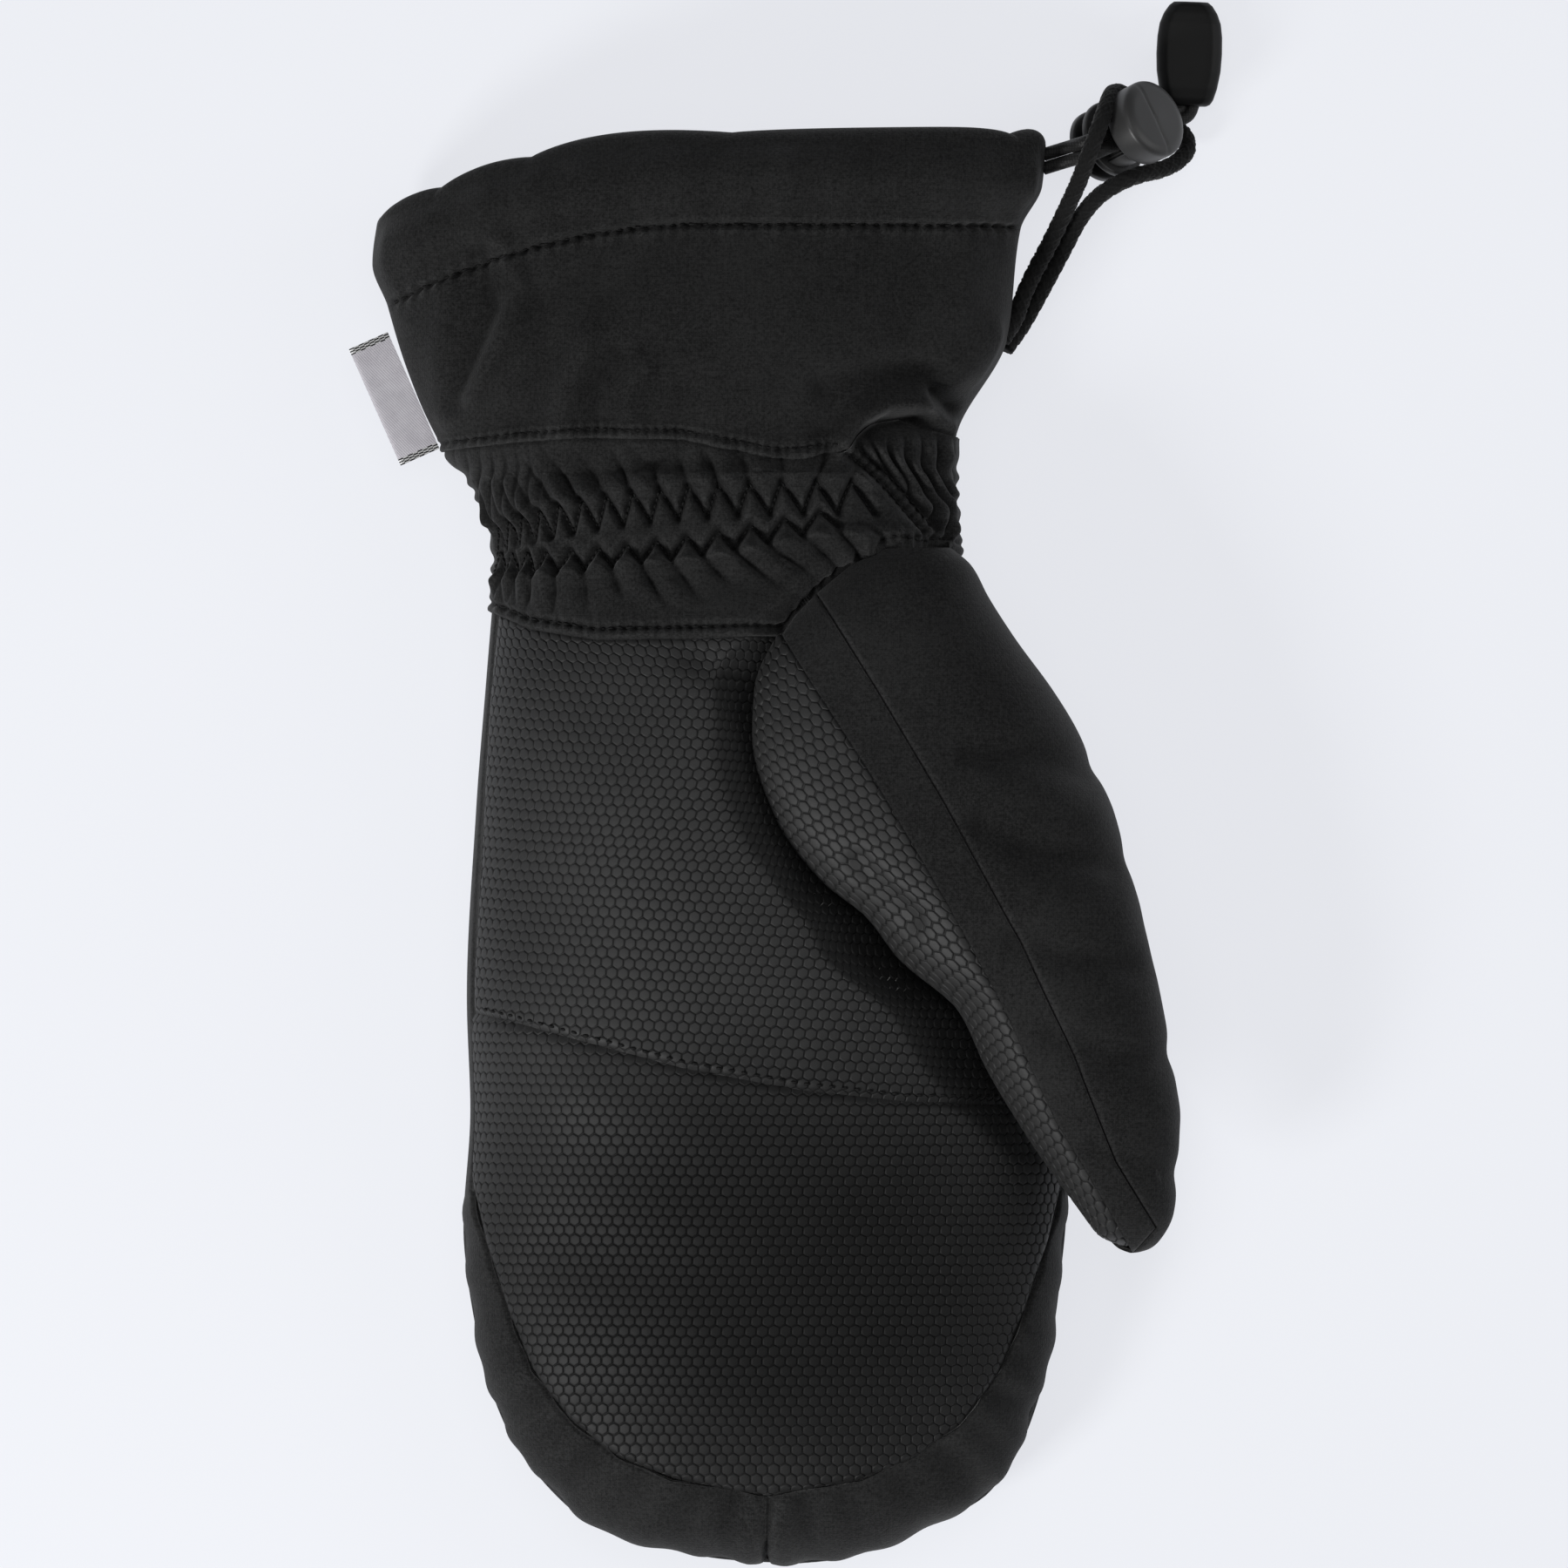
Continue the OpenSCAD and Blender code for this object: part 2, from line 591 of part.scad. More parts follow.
waist_r = plunger_d / 2 + 1.3;
cap_low = barrel_l / 2 - 6.6;                    // lower end of the cap on the lock's axis
cap_top = barrel_l / 2 + 0.5;
module toggle_housing() {
    r = barrel_d / 2;
    color("#404143")
        lock_frame()
            difference() {
                rotate_extrude($fn = 64)
                    polygon([
                        [0, -barrel_l / 2], [r - 0.4, -barrel_l / 2], [r, -barrel_l / 2 + 0.4],
                        [r, -barrel_l / 2 + 1.4], [waist_r, -barrel_l / 2 + 2.2],
                        [waist_r, cap_low - 0.6], [r, cap_low], [r, cap_top - 1.2],
                        [r - 0.5, cap_top - 0.4], [r - 1.6, cap_top], [0, cap_top + 0.5]
                    ]);
                translate([0, 0, -barrel_l / 2 - 1])
                    cylinder(h = barrel_l - 0.6, d = plunger_d + 0.2, $fn = 64);
                cord_slot(slot_z - elastic_d / 2 - 0.2, slot_z + elastic_d / 2 + 0.2);
            }
}

plunger_low = -barrel_l / 2 - press_travel - 2.2;
plunger_top = 2;
module toggle_plunger() {
    color("#1c1c1d")
        lock_frame()
            difference() {
                union() {
                    translate([0, 0, plunger_low])
                        cylinder(h = 2, d = barrel_d - 1.6, $fn = 64);
                    translate([0, 0, plunger_low + 1])
                        cylinder(h = plunger_top - plunger_low - 1, d = plunger_d, $fn = 64);
                }
                cord_slot(slot_z - elastic_d / 2 - press_travel - 0.2, slot_z + elastic_d / 2 + 0.1);
            }
}

module toggle_spring() {
    coil_r = 3.6;
    wire_d = 0.6;
    low = plunger_top + 0.4;
    high = barrel_l / 2 - 2.0;
    turns = 3;
    count = 30;
    route = [for (i = [0:count])
        [coil_r * cos(360 * turns * i / count), coil_r * sin(360 * turns * i / count),
            blend(low, high, i / count)]];
    color("#a8a8a8")
        lock_frame()
            tube(route, wire_d, 6);
}

module cord_end() {
    corner = 3.4;
    color("#171717")
        translate([end_at.x, end_at.y, 0.8])
            rotate([0, 0, -2])
                difference() {
                    linear_extrude(end_t)
                        union() {
                            translate([-end_w / 2 + corner, 0]) square([end_w - 2 * corner, end_l]);
                            translate([-end_w / 2, corner]) square([end_w, end_l - 2 * corner]);
                            for (x = [-1, 1], y = [corner, end_l - corner])
                                translate([x * (end_w / 2 - corner), y]) circle(corner, $fn = 48);
                        }
                    translate([-elastic_d - 1.1, -1, 1.8])
                        cube([2 * elastic_d + 2.2, 6.4, elastic_d + 1]);
                }
}

hand_back();
palm_upper();
palm_fingers();
tip_band_left();
tip_band_right();
wrist_palm();
wrist_back();
gauntlet_palm();
gauntlet_back();
hem_tunnel();
elastic_tape_upper();
elastic_tape_lower();
padding_palm();
padding_back();
padding_cuff();
lining_palm();
lining_back();
lining_cuff();
thumb_leather();
thumb_strip();
thumb_back();
padding_thumb();
lining_thumb();
side_label();
drawcord();
tether();
toggle_housing();
toggle_plunger();
toggle_spring();
cord_end();
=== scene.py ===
"""Looks of the snow mitten: cloth panels, embossed leather, gathers, stitching, cords and lock.

The frame is the CAD part's: +Y from the fingertip to the cuff's mouth, +X towards the thumb and
+Z out of the palm. Forms are worked out in millimetres and made in metres.
"""

import math

import bpy
import numpy as np
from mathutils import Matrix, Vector


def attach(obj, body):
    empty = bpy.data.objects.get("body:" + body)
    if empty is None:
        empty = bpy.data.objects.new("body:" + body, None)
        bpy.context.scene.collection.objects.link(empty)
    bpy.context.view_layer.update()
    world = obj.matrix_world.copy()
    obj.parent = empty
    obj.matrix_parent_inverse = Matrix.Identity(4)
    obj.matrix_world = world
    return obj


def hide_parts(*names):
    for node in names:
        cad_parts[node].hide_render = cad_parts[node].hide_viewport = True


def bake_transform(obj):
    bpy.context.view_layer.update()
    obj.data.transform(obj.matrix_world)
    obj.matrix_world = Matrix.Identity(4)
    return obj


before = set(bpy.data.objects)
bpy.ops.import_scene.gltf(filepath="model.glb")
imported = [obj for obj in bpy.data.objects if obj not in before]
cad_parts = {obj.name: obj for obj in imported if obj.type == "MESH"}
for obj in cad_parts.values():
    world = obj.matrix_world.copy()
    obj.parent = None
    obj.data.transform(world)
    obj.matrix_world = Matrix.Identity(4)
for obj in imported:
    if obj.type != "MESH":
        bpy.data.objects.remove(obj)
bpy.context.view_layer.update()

MM = 0.001
SHELL_T = 0.9          # outer cloth and leather
HEX_PITCH = 2.66       # from one embossed hexagon to the next
HEM_Y = 143.0          # station of the hem's stitching
RIM_Y = 165.0          # station of the rim
HAND_END_Y = 50.0      # station where the hand's panels meet the wrist's
SIDE_SEAM = 13.0       # degrees above the side where the leather palm starts

# Hand form: station, left edge, right edge, top, lowest point, height of the side seams and how
# far the left side is pulled towards the fingertip.
HAND = np.array([
    [-165, 7.0, 8.6, 15.6, 14.4, 15, 0],
    [-164, -9.0, 18.0, 20.0, 10.0, 15, 0],
    [-162, -20.0, 25.0, 24.0, 7.0, 15, 0],
    [-157, -37.4, 37.0, 30.0, 3.0, 14, 0],
    [-149, -48.0, 52.0, 35.0, 0.0, 14, 0],
    [-131, -60.4, 62.5, 42.0, 0.0, 14, 0],
    [-113, -65.8, 67.0, 46.5, 0.0, 14, 0],
    [-87, -69.0, 70.0, 50.0, 0.0, 14, 0],
    [-60, -67.4, 71.5, 52.0, 0.0, 14, 0],
    [-34, -68.2, 71.5, 53.0, 0.0, 14, 0],
    [10, -66.0, 66.0, 54.0, 0.0, 14, 0],
    [38, -63.8, 57.0, 52.0, 0.0, 14, 0],
    [55, -62.4, 50.0, 47.0, 0.0, 14, 0],
    [67, -61.4, 45.6, 42.0, 0.0, 14, 0],
    [86, -67.0, 44.2, 41.0, 0.0, 14, 1],
    [94, -73.4, 44.6, 43.0, 0.0, 14, 2],
    [118, -81.0, 56.6, 44.0, 0.0, 14, 10],
    [143, -86.4, 59.6, 41.0, 0.0, 14, 18],
    [153, -90.0, 64.6, 43.0, 0.0, 14, 18],
    [165, -88.6, 65.6, 38.0, 0.0, 15, 18],
])

# Thumb form: station, left edge, right edge, top, lowest point, heights of the two edges.
THUMB = np.array([
    [-92.4, 84.2, 85.4, 36.8, 36.0, 36.4, 36.4],
    [-91.4, 80.6, 88.8, 40.0, 33.6, 36.6, 36.6],
    [-89.0, 77.4, 91.4, 43.6, 31.4, 37.0, 37.0],
    [-83.0, 72.6, 94.2, 48.6, 29.4, 38.0, 38.0],
    [-75.8, 67.4, 95.0, 52.0, 28.2, 39.0, 39.0],
    [-63.8, 59.4, 95.4, 55.0, 27.4, 40.0, 40.0],
    [-49.6, 51.2, 94.4, 57.0, 27.2, 40.0, 39.0],
    [-37.0, 45.0, 92.0, 58.0, 27.0, 41.0, 38.0],
    [-25.0, 31.0, 89.4, 59.0, 27.0, 42.0, 37.0],
    [-15.6, 23.8, 87.0, 60.0, 26.0, 43.0, 36.0],
    [-7.2, 13.4, 85.0, 60.0, 22.0, 44.0, 35.0],
    [7.6, 3.0, 81.0, 60.0, 17.0, 45.0, 32.0],
    [26.8, -2.2, 72.4, 59.0, 16.0, 45.0, 30.0],
    [36.6, -1.8, 66.6, 58.0, 16.0, 44.0, 30.0],
    [49.4, 3.8, 57.4, 55.0, 16.0, 43.0, 30.0],
    [58.0, 11.6, 51.6, 51.0, 17.0, 40.0, 30.0],
    [65.0, 20.0, 47.6, 46.0, 20.0, 37.0, 31.0],
    [69.0, 28.0, 43.0, 42.0, 26.0, 35.0, 32.0],
])

# Seams: X of a seam at a station, or Y of a seam at a place along X.
LEATHER_SEAM_X = [(-92.4, 84.8), (-79.8, 77.4), (-62.4, 67), (-37, 55.6), (-10, 40.8), (15, 26),
                  (38, 11.2), (49, 4.4), (53.5, 7.4), (58, 11.8), (65, 20.2), (69, 28.4)]
BACK_SEAM_X = [(-92.4, 85), (-86.6, 90), (-71.4, 80.4), (-47.6, 71), (-21.2, 58.6), (11.4, 40.8),
               (37.2, 25.4), (58.4, 12.2), (69, 30)]
CROSS_SEAM_Y = [(-70, -37), (-56, -40), (-18, -50), (8, -54.8), (33, -57.6), (72, -58.6)]
WRIST_SEAM_Y = [(-62, 55), (-53, 51), (-38, 48.6), (4, 49.4), (12, 58.4), (20, 65.4), (28, 69.4),
                (43, 69.4), (46, 67.6)]
GAUNTLET_SEAM_Y = [(-74, 94), (-44, 95), (-18, 94), (4, 90), (18, 91.6), (24.4, 97), (32, 98),
                   (41, 95.5), (48, 94)]
LEATHER_TIP_W = [(-148.6, 0.8), (-145, 21), (-140, 34), (-132, 45), (-120, 54), (-106, 60),
                 (-90, 65.4), (-76, 68.6), (-60, 69.6)]
TIP_MID_X = 1.0
STRIP_END_Y = 58.4      # station where the thumb's strip runs out at the wrist
HAND_TIP_Y, THUMB_TIP_Y, THUMB_END_Y = -165.0, -92.4, 69.0
THUMB_END_X = 29.0      # where the thumb's end meets its leather seam


# ---- small numeric helpers ----


def along(table, at):
    """Value of a two-column table at a place, with straight lines between its rows."""
    rows = np.array(table, float)
    return np.interp(at, rows[:, 0], rows[:, 1])


def smooth_lookup(table, column, y):
    """A column of a form at stations y, as a smooth curve that never overshoots its rows."""
    first = table[0, 0]
    knots = np.sqrt(table[:, 0] - first + 0.5)
    values = table[:, column]
    step = np.diff(knots)
    slope = np.diff(values) / step
    tangent = np.zeros(len(knots))
    same = slope[:-1] * slope[1:] > 0
    w1 = 2 * step[1:] + step[:-1]
    w2 = step[1:] + 2 * step[:-1]
    safe_a = np.where(same, slope[:-1], 1)
    safe_b = np.where(same, slope[1:], 1)
    tangent[1:-1] = np.where(same, (w1 + w2) / (w1 / safe_a + w2 / safe_b), 0)
    tangent[0] = slope[0]
    tangent[-1] = slope[-1]
    at = np.sqrt(np.clip(y, first, table[-1, 0]) - first + 0.5)
    i = np.clip(np.searchsorted(knots, at) - 1, 0, len(step) - 1)
    t = (at - knots[i]) / step[i]
    h = step[i]
    return (
        values[i] * (2 * t**3 - 3 * t**2 + 1)
        + tangent[i] * h * (t**3 - 2 * t**2 + t)
        + values[i + 1] * (3 * t**2 - 2 * t**3)
        + tangent[i + 1] * h * (t**3 - t**2)
    )


def soft_min(a, b, reach):
    """The lower of two heights, with the corner between them rounded."""
    low = np.minimum(a, b)
    return low - reach * np.log(np.exp(-(a - low) / reach) + np.exp(-(b - low) / reach))


def ramp(t, start, end):
    """0 before start, 1 after end and a smooth rise between."""
    s = np.clip((t - start) / (end - start), 0, 1)
    return s * s * (3 - 2 * s)


def ripple(x, y, size, seed=0.0):
    """Gentle unevenness about that many millimetres across, from -1 to 1."""
    a = np.sin(x / size * 2.1 + 1.7 * np.sin(y / size * 1.3 + seed) + seed)
    b = np.sin(y / size * 1.9 + 1.4 * np.sin(x / size * 1.6 + 2.2 * seed) + 0.7)
    c = np.sin((x + y) / size * 1.1 + 3.1 * seed) * np.sin((x - 0.7 * y) / size * 1.7 + 1.1)
    return (a + b + c) / 3


def crease(x, y, points, width, height):
    """A fold along a line of points in plan: raised, or sunk where height is below 0."""
    nearest = np.full(np.shape(x), 1e9)
    for (x0, y0), (x1, y1) in zip(points[:-1], points[1:]):
        dx, dy = x1 - x0, y1 - y0
        t = np.clip(((x - x0) * dx + (y - y0) * dy) / (dx * dx + dy * dy), 0, 1)
        nearest = np.minimum(nearest, np.hypot(x - x0 - t * dx, y - y0 - t * dy))
    return height * np.exp(-((nearest / width) ** 2))


def with_creases(h, x, y, folds):
    """Heights with a list of folds added; each fold is its points, width and height."""
    for points, width, height in folds:
        h = h + crease(x, y, points, width, height)
    return h


# ---- the two forms ----


def thumb_rim(y, q):
    """Height of the thumb's rim from its left edge, q = -1, to its right edge, q = 1."""
    left_z = smooth_lookup(THUMB, 5, y)
    right_z = smooth_lookup(THUMB, 6, y)
    return (left_z * (1 - q) + right_z * (1 + q)) / 2


def thumb_left(y):
    """X of the thumb's left edge."""
    return smooth_lookup(THUMB, 1, y)


def bed_height(x, y):
    """Highest that the palm may be: a ramp down to the thumb's left edge and a bed under it."""
    edge = thumb_rim(y, -1.0) - np.interp(y, [-22, -8], [6.5, 2.0])
    bed = np.maximum(smooth_lookup(THUMB, 4, y) - 3.5, edge - 1.1 * (x - thumb_left(y)))
    outside = np.maximum(np.maximum(THUMB_TIP_Y - y, y - THUMB_END_Y), 0)
    return bed + 4 * outside


def hand_form(y, angle, depth=0.0):
    """Point of the hand form at a station and an angle: 0 is the right side, 90 the palm."""
    left, right, top, low, seam, drop = (smooth_lookup(HAND, c, y) for c in range(1, 7))
    half = (right - left) / 2
    c, s = np.cos(np.radians(angle)), np.sin(np.radians(angle))
    up = s >= 0
    power = np.where(up, 2.3, 3.0)
    across = np.sign(c) * np.abs(c) ** (2 / power)
    x = (left + right) / 2 + (half - depth * np.minimum(1, half / 40)) * across
    rise_up = (top - seam) - depth * np.minimum(1, (top - seam) / 14)
    rise_low = (seam - low) - depth * np.minimum(1, (seam - low) / 9)
    full_low = rise_low + 1.2 * np.minimum(1, rise_low / 10)
    lift = np.abs(s) ** (2 / power)
    z_up = seam + rise_up * lift
    z_up = np.maximum(seam, soft_min(z_up, bed_height(x, y) - depth, 0.8))
    z_low = seam - soft_min(rise_low, full_low * lift, 0.12)
    pulled = drop * np.maximum(0, -across) ** 2
    shift = depth * np.clip((-60 - y) / 105, 0, 1)
    return np.stack([x, y - pulled + shift, np.where(up, z_up, z_low)], -1)


def thumb_form(y, angle, depth=0.0):
    """Point of the thumb form at a station and an angle, like hand_form."""
    left, right, top, low = (smooth_lookup(THUMB, c, y) for c in range(1, 5))
    half = (right - left) / 2
    q = np.cos(np.radians(angle))
    s = np.sin(np.radians(angle))
    rim = thumb_rim(y, q)
    rise = np.where(s >= 0, top - rim, rim - low)
    lift = (rise - depth * np.minimum(1, rise / 11)) * s
    x = (left + right) / 2 + (half - depth * np.minimum(1, half / 14)) * q
    shift = depth * np.clip((-40 - y) / 52, 0, 1)
    return np.stack([x, y + shift, rim + lift], -1)


def hand_angle(y, x):
    """Angle on the palm side of the hand form where it passes a given X."""
    left, right = smooth_lookup(HAND, 1, y), smooth_lookup(HAND, 2, y)
    q = np.clip((x - (left + right) / 2) / ((right - left) / 2), -1, 1)
    return np.degrees(np.arccos(np.sign(q) * np.abs(q) ** 1.15))


def thumb_angle(y, x):
    """Angle on the upper side of the thumb form where it passes a given X."""
    left, right = smooth_lookup(THUMB, 1, y), smooth_lookup(THUMB, 2, y)
    return np.degrees(np.arccos(np.clip((x - (left + right) / 2) / ((right - left) / 2), -1, 1)))


def surface(form, y, angle, depth=0.0):
    """Points of a form and their outward normals."""
    y, angle = np.broadcast_arrays(np.asarray(y, float), np.asarray(angle, float))
    here = form(y, angle, depth)
    step_y = form(y + 0.3, angle, depth) - form(y - 0.3, angle, depth)
    step_a = form(y, angle + 0.5, depth) - form(y, angle - 0.5, depth)
    normal = np.cross(step_y, step_a)
    length = np.linalg.norm(normal, axis=-1, keepdims=True)
    return here, normal / np.maximum(length, 1e-9)


# ---- the zigzag rows over the elastic ----


def zigzag_row(count, peak_x, peak_y, valley_x, valley_y):
    """Corner points of a zigzag, from the left: valley, peak, valley and so on."""
    points = []
    for k in count:
        points.append((valley_x(k), valley_y(k)))
        points.append((peak_x(k), peak_y(k)))
    points.append((valley_x(count[-1] + 1), valley_y(count[-1] + 1)))
    return points


def upper_peak_x(k):
    return -46.1 + (5.1 * k + 0.15 * k * k if k >= 0 else 4.6 * k + 0.32 * k * k)


def lower_peak_x(k):
    return -49.0 + (5.7 * k + 0.13 * k * k if k >= 0 else 4.4 * k + 0.38 * k * k)


def upper_peak_y(k):
    return 79.4 + 1.0 * k - 0.05 * k * k


def lower_valley_y(k):
    return 62.6 + 0.2 * k + 0.09 * k * k


UPPER_COUNT = range(-4, 11)
LOWER_COUNT = range(-3, 10)
UPPER_ZIGZAG = zigzag_row(
    UPPER_COUNT, upper_peak_x, upper_peak_y,
    lambda k: (upper_peak_x(k) + upper_peak_x(k - 1)) / 2 + 1.0, lambda k: upper_peak_y(k) - 7.6)
LOWER_ZIGZAG = zigzag_row(
    LOWER_COUNT, lower_peak_x, lambda k: lower_valley_y(k) + 5.8,
    lambda k: (lower_peak_x(k) + lower_peak_x(k - 1)) / 2, lower_valley_y)
CORNER_STITCH = [[(18.2, 91.6), (27, 84), (36.4, 72.6)], [(21.0, 92.6), (29.6, 85.0), (39.0, 73.6)]]


# ---- relief of the cloth: heights in millimetres over the forms, seen in plan ----


def fold_profile(phase):
    """Wide rounded ridges with a narrow crease at every whole number."""
    return np.abs(np.sin(np.pi * phase)) ** 0.85


def puffed_cells(x, y, upper_y, lower_y):
    """Cells that puff up between the strokes of the zigzag stitching."""
    rough = 0.5 * np.sin(x / 1.9 + 0.5 * y) * np.sin(y / 3.3 + 0.3 * x)
    near = crease(x, y, UPPER_ZIGZAG, 1.05, 1.0)
    near = np.maximum(near, crease(x, y, LOWER_ZIGZAG, 1.05, 1.0))
    inside = ramp(y, lower_y - 5, lower_y) * (1 - ramp(y, upper_y + 1, upper_y + 7))
    return (1 - near) * inside * (2.3 + 0.35 * rough)


def folds_above(x, rise):
    """Folds that run up into the cuff from the upper row's corners."""
    peaks = [upper_peak_x(k) for k in range(-6, 14)]
    lean = np.interp(x, [-60, -30, 0, 15], [-0.6, -0.5, -0.2, 0.3]) + 0.1 * np.sin(x / 6)
    phase = np.interp(x - lean * rise, peaks, range(-6, 14))
    reach = 13 + 4 * np.sin(x / 9 + 1.0) + 2.5 * np.sin(x / 3.1)
    fold = fold_profile(phase) * (1 + 0.3 * np.sin(2.3 * phase))
    return fold * ramp(rise, -3, 1) * (1 - ramp(rise, 3, reach))


def folds_below(x, drop):
    """Folds that run down to the palm from the lower row's corners."""
    valleys = [(lower_peak_x(k) + lower_peak_x(k - 1)) / 2 for k in range(-5, 13)]
    lean = np.interp(x, [-60, -45, -25, 0, 12], [-0.5, -0.1, 0.5, 0.9, 1.1])
    phase = np.interp(x - lean * drop, valleys, range(-5, 13))
    fold = fold_profile(phase) * (1 + 0.25 * np.sin(1.9 * phase + 1.0))
    return fold * ramp(drop, -3, 1) * (1 - ramp(drop, 3, 12 + 2 * np.sin(x / 4)))


def thumb_corner(x, y, across):
    """Puckers in the corner by the thumb, where the elastic ends under a double row."""
    wave = (x + 0.25 * (y - 80) + 1.0 * np.sin(y / 2.3 + x / 5)) / 3.1 + 0.5 * ramp(y, 78, 82)
    crumple = 0.6 * np.sin(y / 1.3 + x / 2.1) + 0.4 * np.sin(y / 2.9 - x / 1.7)
    corner = fold_profile(wave + 0.12 * crumple) * (1 + 0.45 * crumple) * ramp(across, 31, 33.5)
    corner = corner * ramp(y, 68, 72) * (1 - ramp(y, 89, 97)) * 2.2
    along_row = (y - 0.93 * x) / 3.0
    crossing = fold_profile(along_row) * ramp(across, 26, 28.5) * (1 - ramp(across, 30.5, 32.5))
    h = corner + 0.6 * crossing * ramp(y, 66, 70) * (1 - ramp(y, 92, 96))
    for row in CORNER_STITCH:
        h = h - crease(x, y, row, 0.8, 0.9)
    return h


def gathers(x, y):
    """Puckers of the wrist above, between and below the zigzag rows."""
    across = x + 0.93 * (y - 82)
    upper_y = np.interp(x, [-60, -46, -20, 5, 20], [75, 79.4, 83.2, 84.4, 84])
    lower_y = np.interp(x, [-60, -49, -20, -2, 12], [63, 62.6, 65.6, 69.2, 72])
    rise, drop = y - upper_y, lower_y - y
    left = 1 - ramp(x, -56, -46)
    folds = puffed_cells(x, y, upper_y, lower_y) + 2.2 * folds_above(x, rise)
    folds = (folds + 2.1 * folds_below(x, drop)) * (1 - 0.4 * left) * (1 - ramp(across, 25, 28.5))
    # finer puckers at the left side, where the cloth is drawn in most
    tier = 0.5 * ramp(rise, -5, 1) + 0.5 * ramp(drop, -5, 1)
    fine = fold_profile((x + 0.12 * (y - 70) + 0.5 * np.sin(y / 2.1)) / 2.9 + tier)
    fine = fine * left * ramp(y, 53, 60) * (1 - ramp(y, 84, 95)) * 1.1
    return folds + fine + thumb_corner(x, y, across)


# Soft folds of the cuff above the gathers: points (x, y), width and height, sunk where negative.
CUFF_FOLDS = [
    ([(-60, 139), (-56, 129), (-61, 116), (-67, 104)], 2.6, 1.5),
    ([(-64, 136), (-62, 124), (-67, 112), (-71, 103)], 3.0, -1.8),
    ([(-72, 128), (-74, 112), (-72, 99)], 3.4, 1.2),
    ([(-52, 124), (-50, 112), (-56, 99)], 4.5, -1.7),
    ([(-46, 97), (-45, 106), (-40, 116)], 3.4, 1.7),
    ([(-38, 97), (-38, 106), (-34, 113)], 3.0, -1.5),
    ([(-30, 97), (-31, 104), (-28, 110)], 3.0, 1.2),
    ([(-22, 141), (-28, 133), (-36, 126)], 4.0, -1.1),
    ([(-34, 140), (-40, 132), (-50, 128)], 4.0, -1.0),
    ([(-20, 96), (-18, 104)], 3.5, -0.9),
    ([(-10, 98), (6, 103), (14, 111)], 5, 0.9),
    # the pouch beside the thumb
    ([(18, 93.5), (22, 99), (28, 102.5), (36, 103)], 2.4, 4.4),
    ([(23, 94), (28, 97), (36, 98)], 2.0, -3.8),
    ([(39, 101), (41.5, 98), (46, 94.5)], 2.8, 2.4),
    ([(39.5, 104.5), (43, 101.5)], 2.0, -2.8),
    ([(14, 106), (26, 109.5), (38, 109.5)], 3.6, -2.2),
    ([(42, 108), (48, 111), (53, 118)], 4.0, 1.8),
    ([(34, 112), (33, 124), (36, 136)], 6, -1.6),
    ([(46, 124), (48, 138)], 5, 1.2),
]
# Unevenness of the padded palm.
PALM_FOLDS = [
    ([(-16, 45), (-8, 40), (-3, 31)], 4.5, -1.6),
    ([(12, -8), (28, -26), (44, -44)], 7, -1.8),
    ([(-40, -56), (-10, -66), (30, -72)], 9, 0.9),
    ([(-46, -92), (-10, -98), (34, -96)], 10, -1.0),
    ([(-38, -130), (0, -140), (36, -132)], 6, -0.8),
]
# Cross wrinkles of the thumb.
THUMB_FOLDS = [
    ([(47, 23), (60, 22), (74, 18)], 3.6, -1.5),
    ([(50, 15), (63, 12), (76, 8)], 3.6, 0.8),
    ([(49, 6), (64, 0), (80, -3)], 3.8, -1.8),
    ([(56, -8), (68, -12), (82, -14)], 4.0, 0.8),
    ([(58, -20), (68, -24), (84, -26)], 3.6, -1.5),
    ([(66, -42), (80, -47), (92, -47)], 3.8, -1.6),
    ([(70, -54), (82, -58), (92, -60)], 4.0, 0.7),
    ([(76, -68), (86, -72), (94, -74)], 3.5, -1.0),
    ([(22, -3), (27, -9), (34, -16)], 3.0, -1.6),
]


def stitch_dents(distance, run, pitch, depth):
    """Dents where single stitches pull the cloth in, along a row of stitching."""
    pull = 0.5 - 0.5 * np.cos(2 * np.pi * run / pitch)
    near_row = np.exp(-((distance / 0.75) ** 2))
    beside = np.exp(-((distance / 2.2) ** 2)) - near_row
    return -near_row * depth * (0.55 + 0.75 * pull) + 0.35 * depth * beside * (1 - pull)


def hem_puckers(x, y):
    """The hem's channel: full between the rim and the stitching, pulled in at the stitches."""
    row = stitch_dents(y - HEM_Y, x, 3.1, 1.5)
    full = 1.5 * np.sin(np.pi * np.clip((y - HEM_Y) / (RIM_Y - HEM_Y), 0, 1)) ** 0.6
    beat = np.sin(x / 3.3 + 1.3 * np.sin(x / 9)) * np.sin(x / 8 + 0.5)
    channel = 0.55 * beat * ramp(y, HEM_Y + 1, HEM_Y + 6)
    folds = np.sin(x / 2.1 + 0.9 * np.sin(x / 5)) * np.exp(-(((y - HEM_Y) / 5.5) ** 2))
    return row + full + channel + 0.35 * folds


def side_share(x, station):
    """1 on the faces of the form, falling to 0 at its two side seams."""
    left, right = smooth_lookup(HAND, 1, station), smooth_lookup(HAND, 2, station)
    return 1 - ramp(np.abs((x - (left + right) / 2) / ((right - left) / 2)), 0.95, 0.998)


def side_relief(station):
    """Small bumps of the gathers along the side seams, the same for the panels on both sides."""
    bumps = np.sin(station / 0.85 + 1.6 * np.sin(station / 3.3)) * ramp(station, 57, 63)
    return 0.42 * bumps * (1 - ramp(station, 84, 98))


def cuff_relief(x, y, station):
    """All the relief of the wrist and cuff, which agrees with the back at the side seams."""
    share = side_share(x, station)
    return face_relief(x, y, station) * share + side_relief(station) * (1 - share)


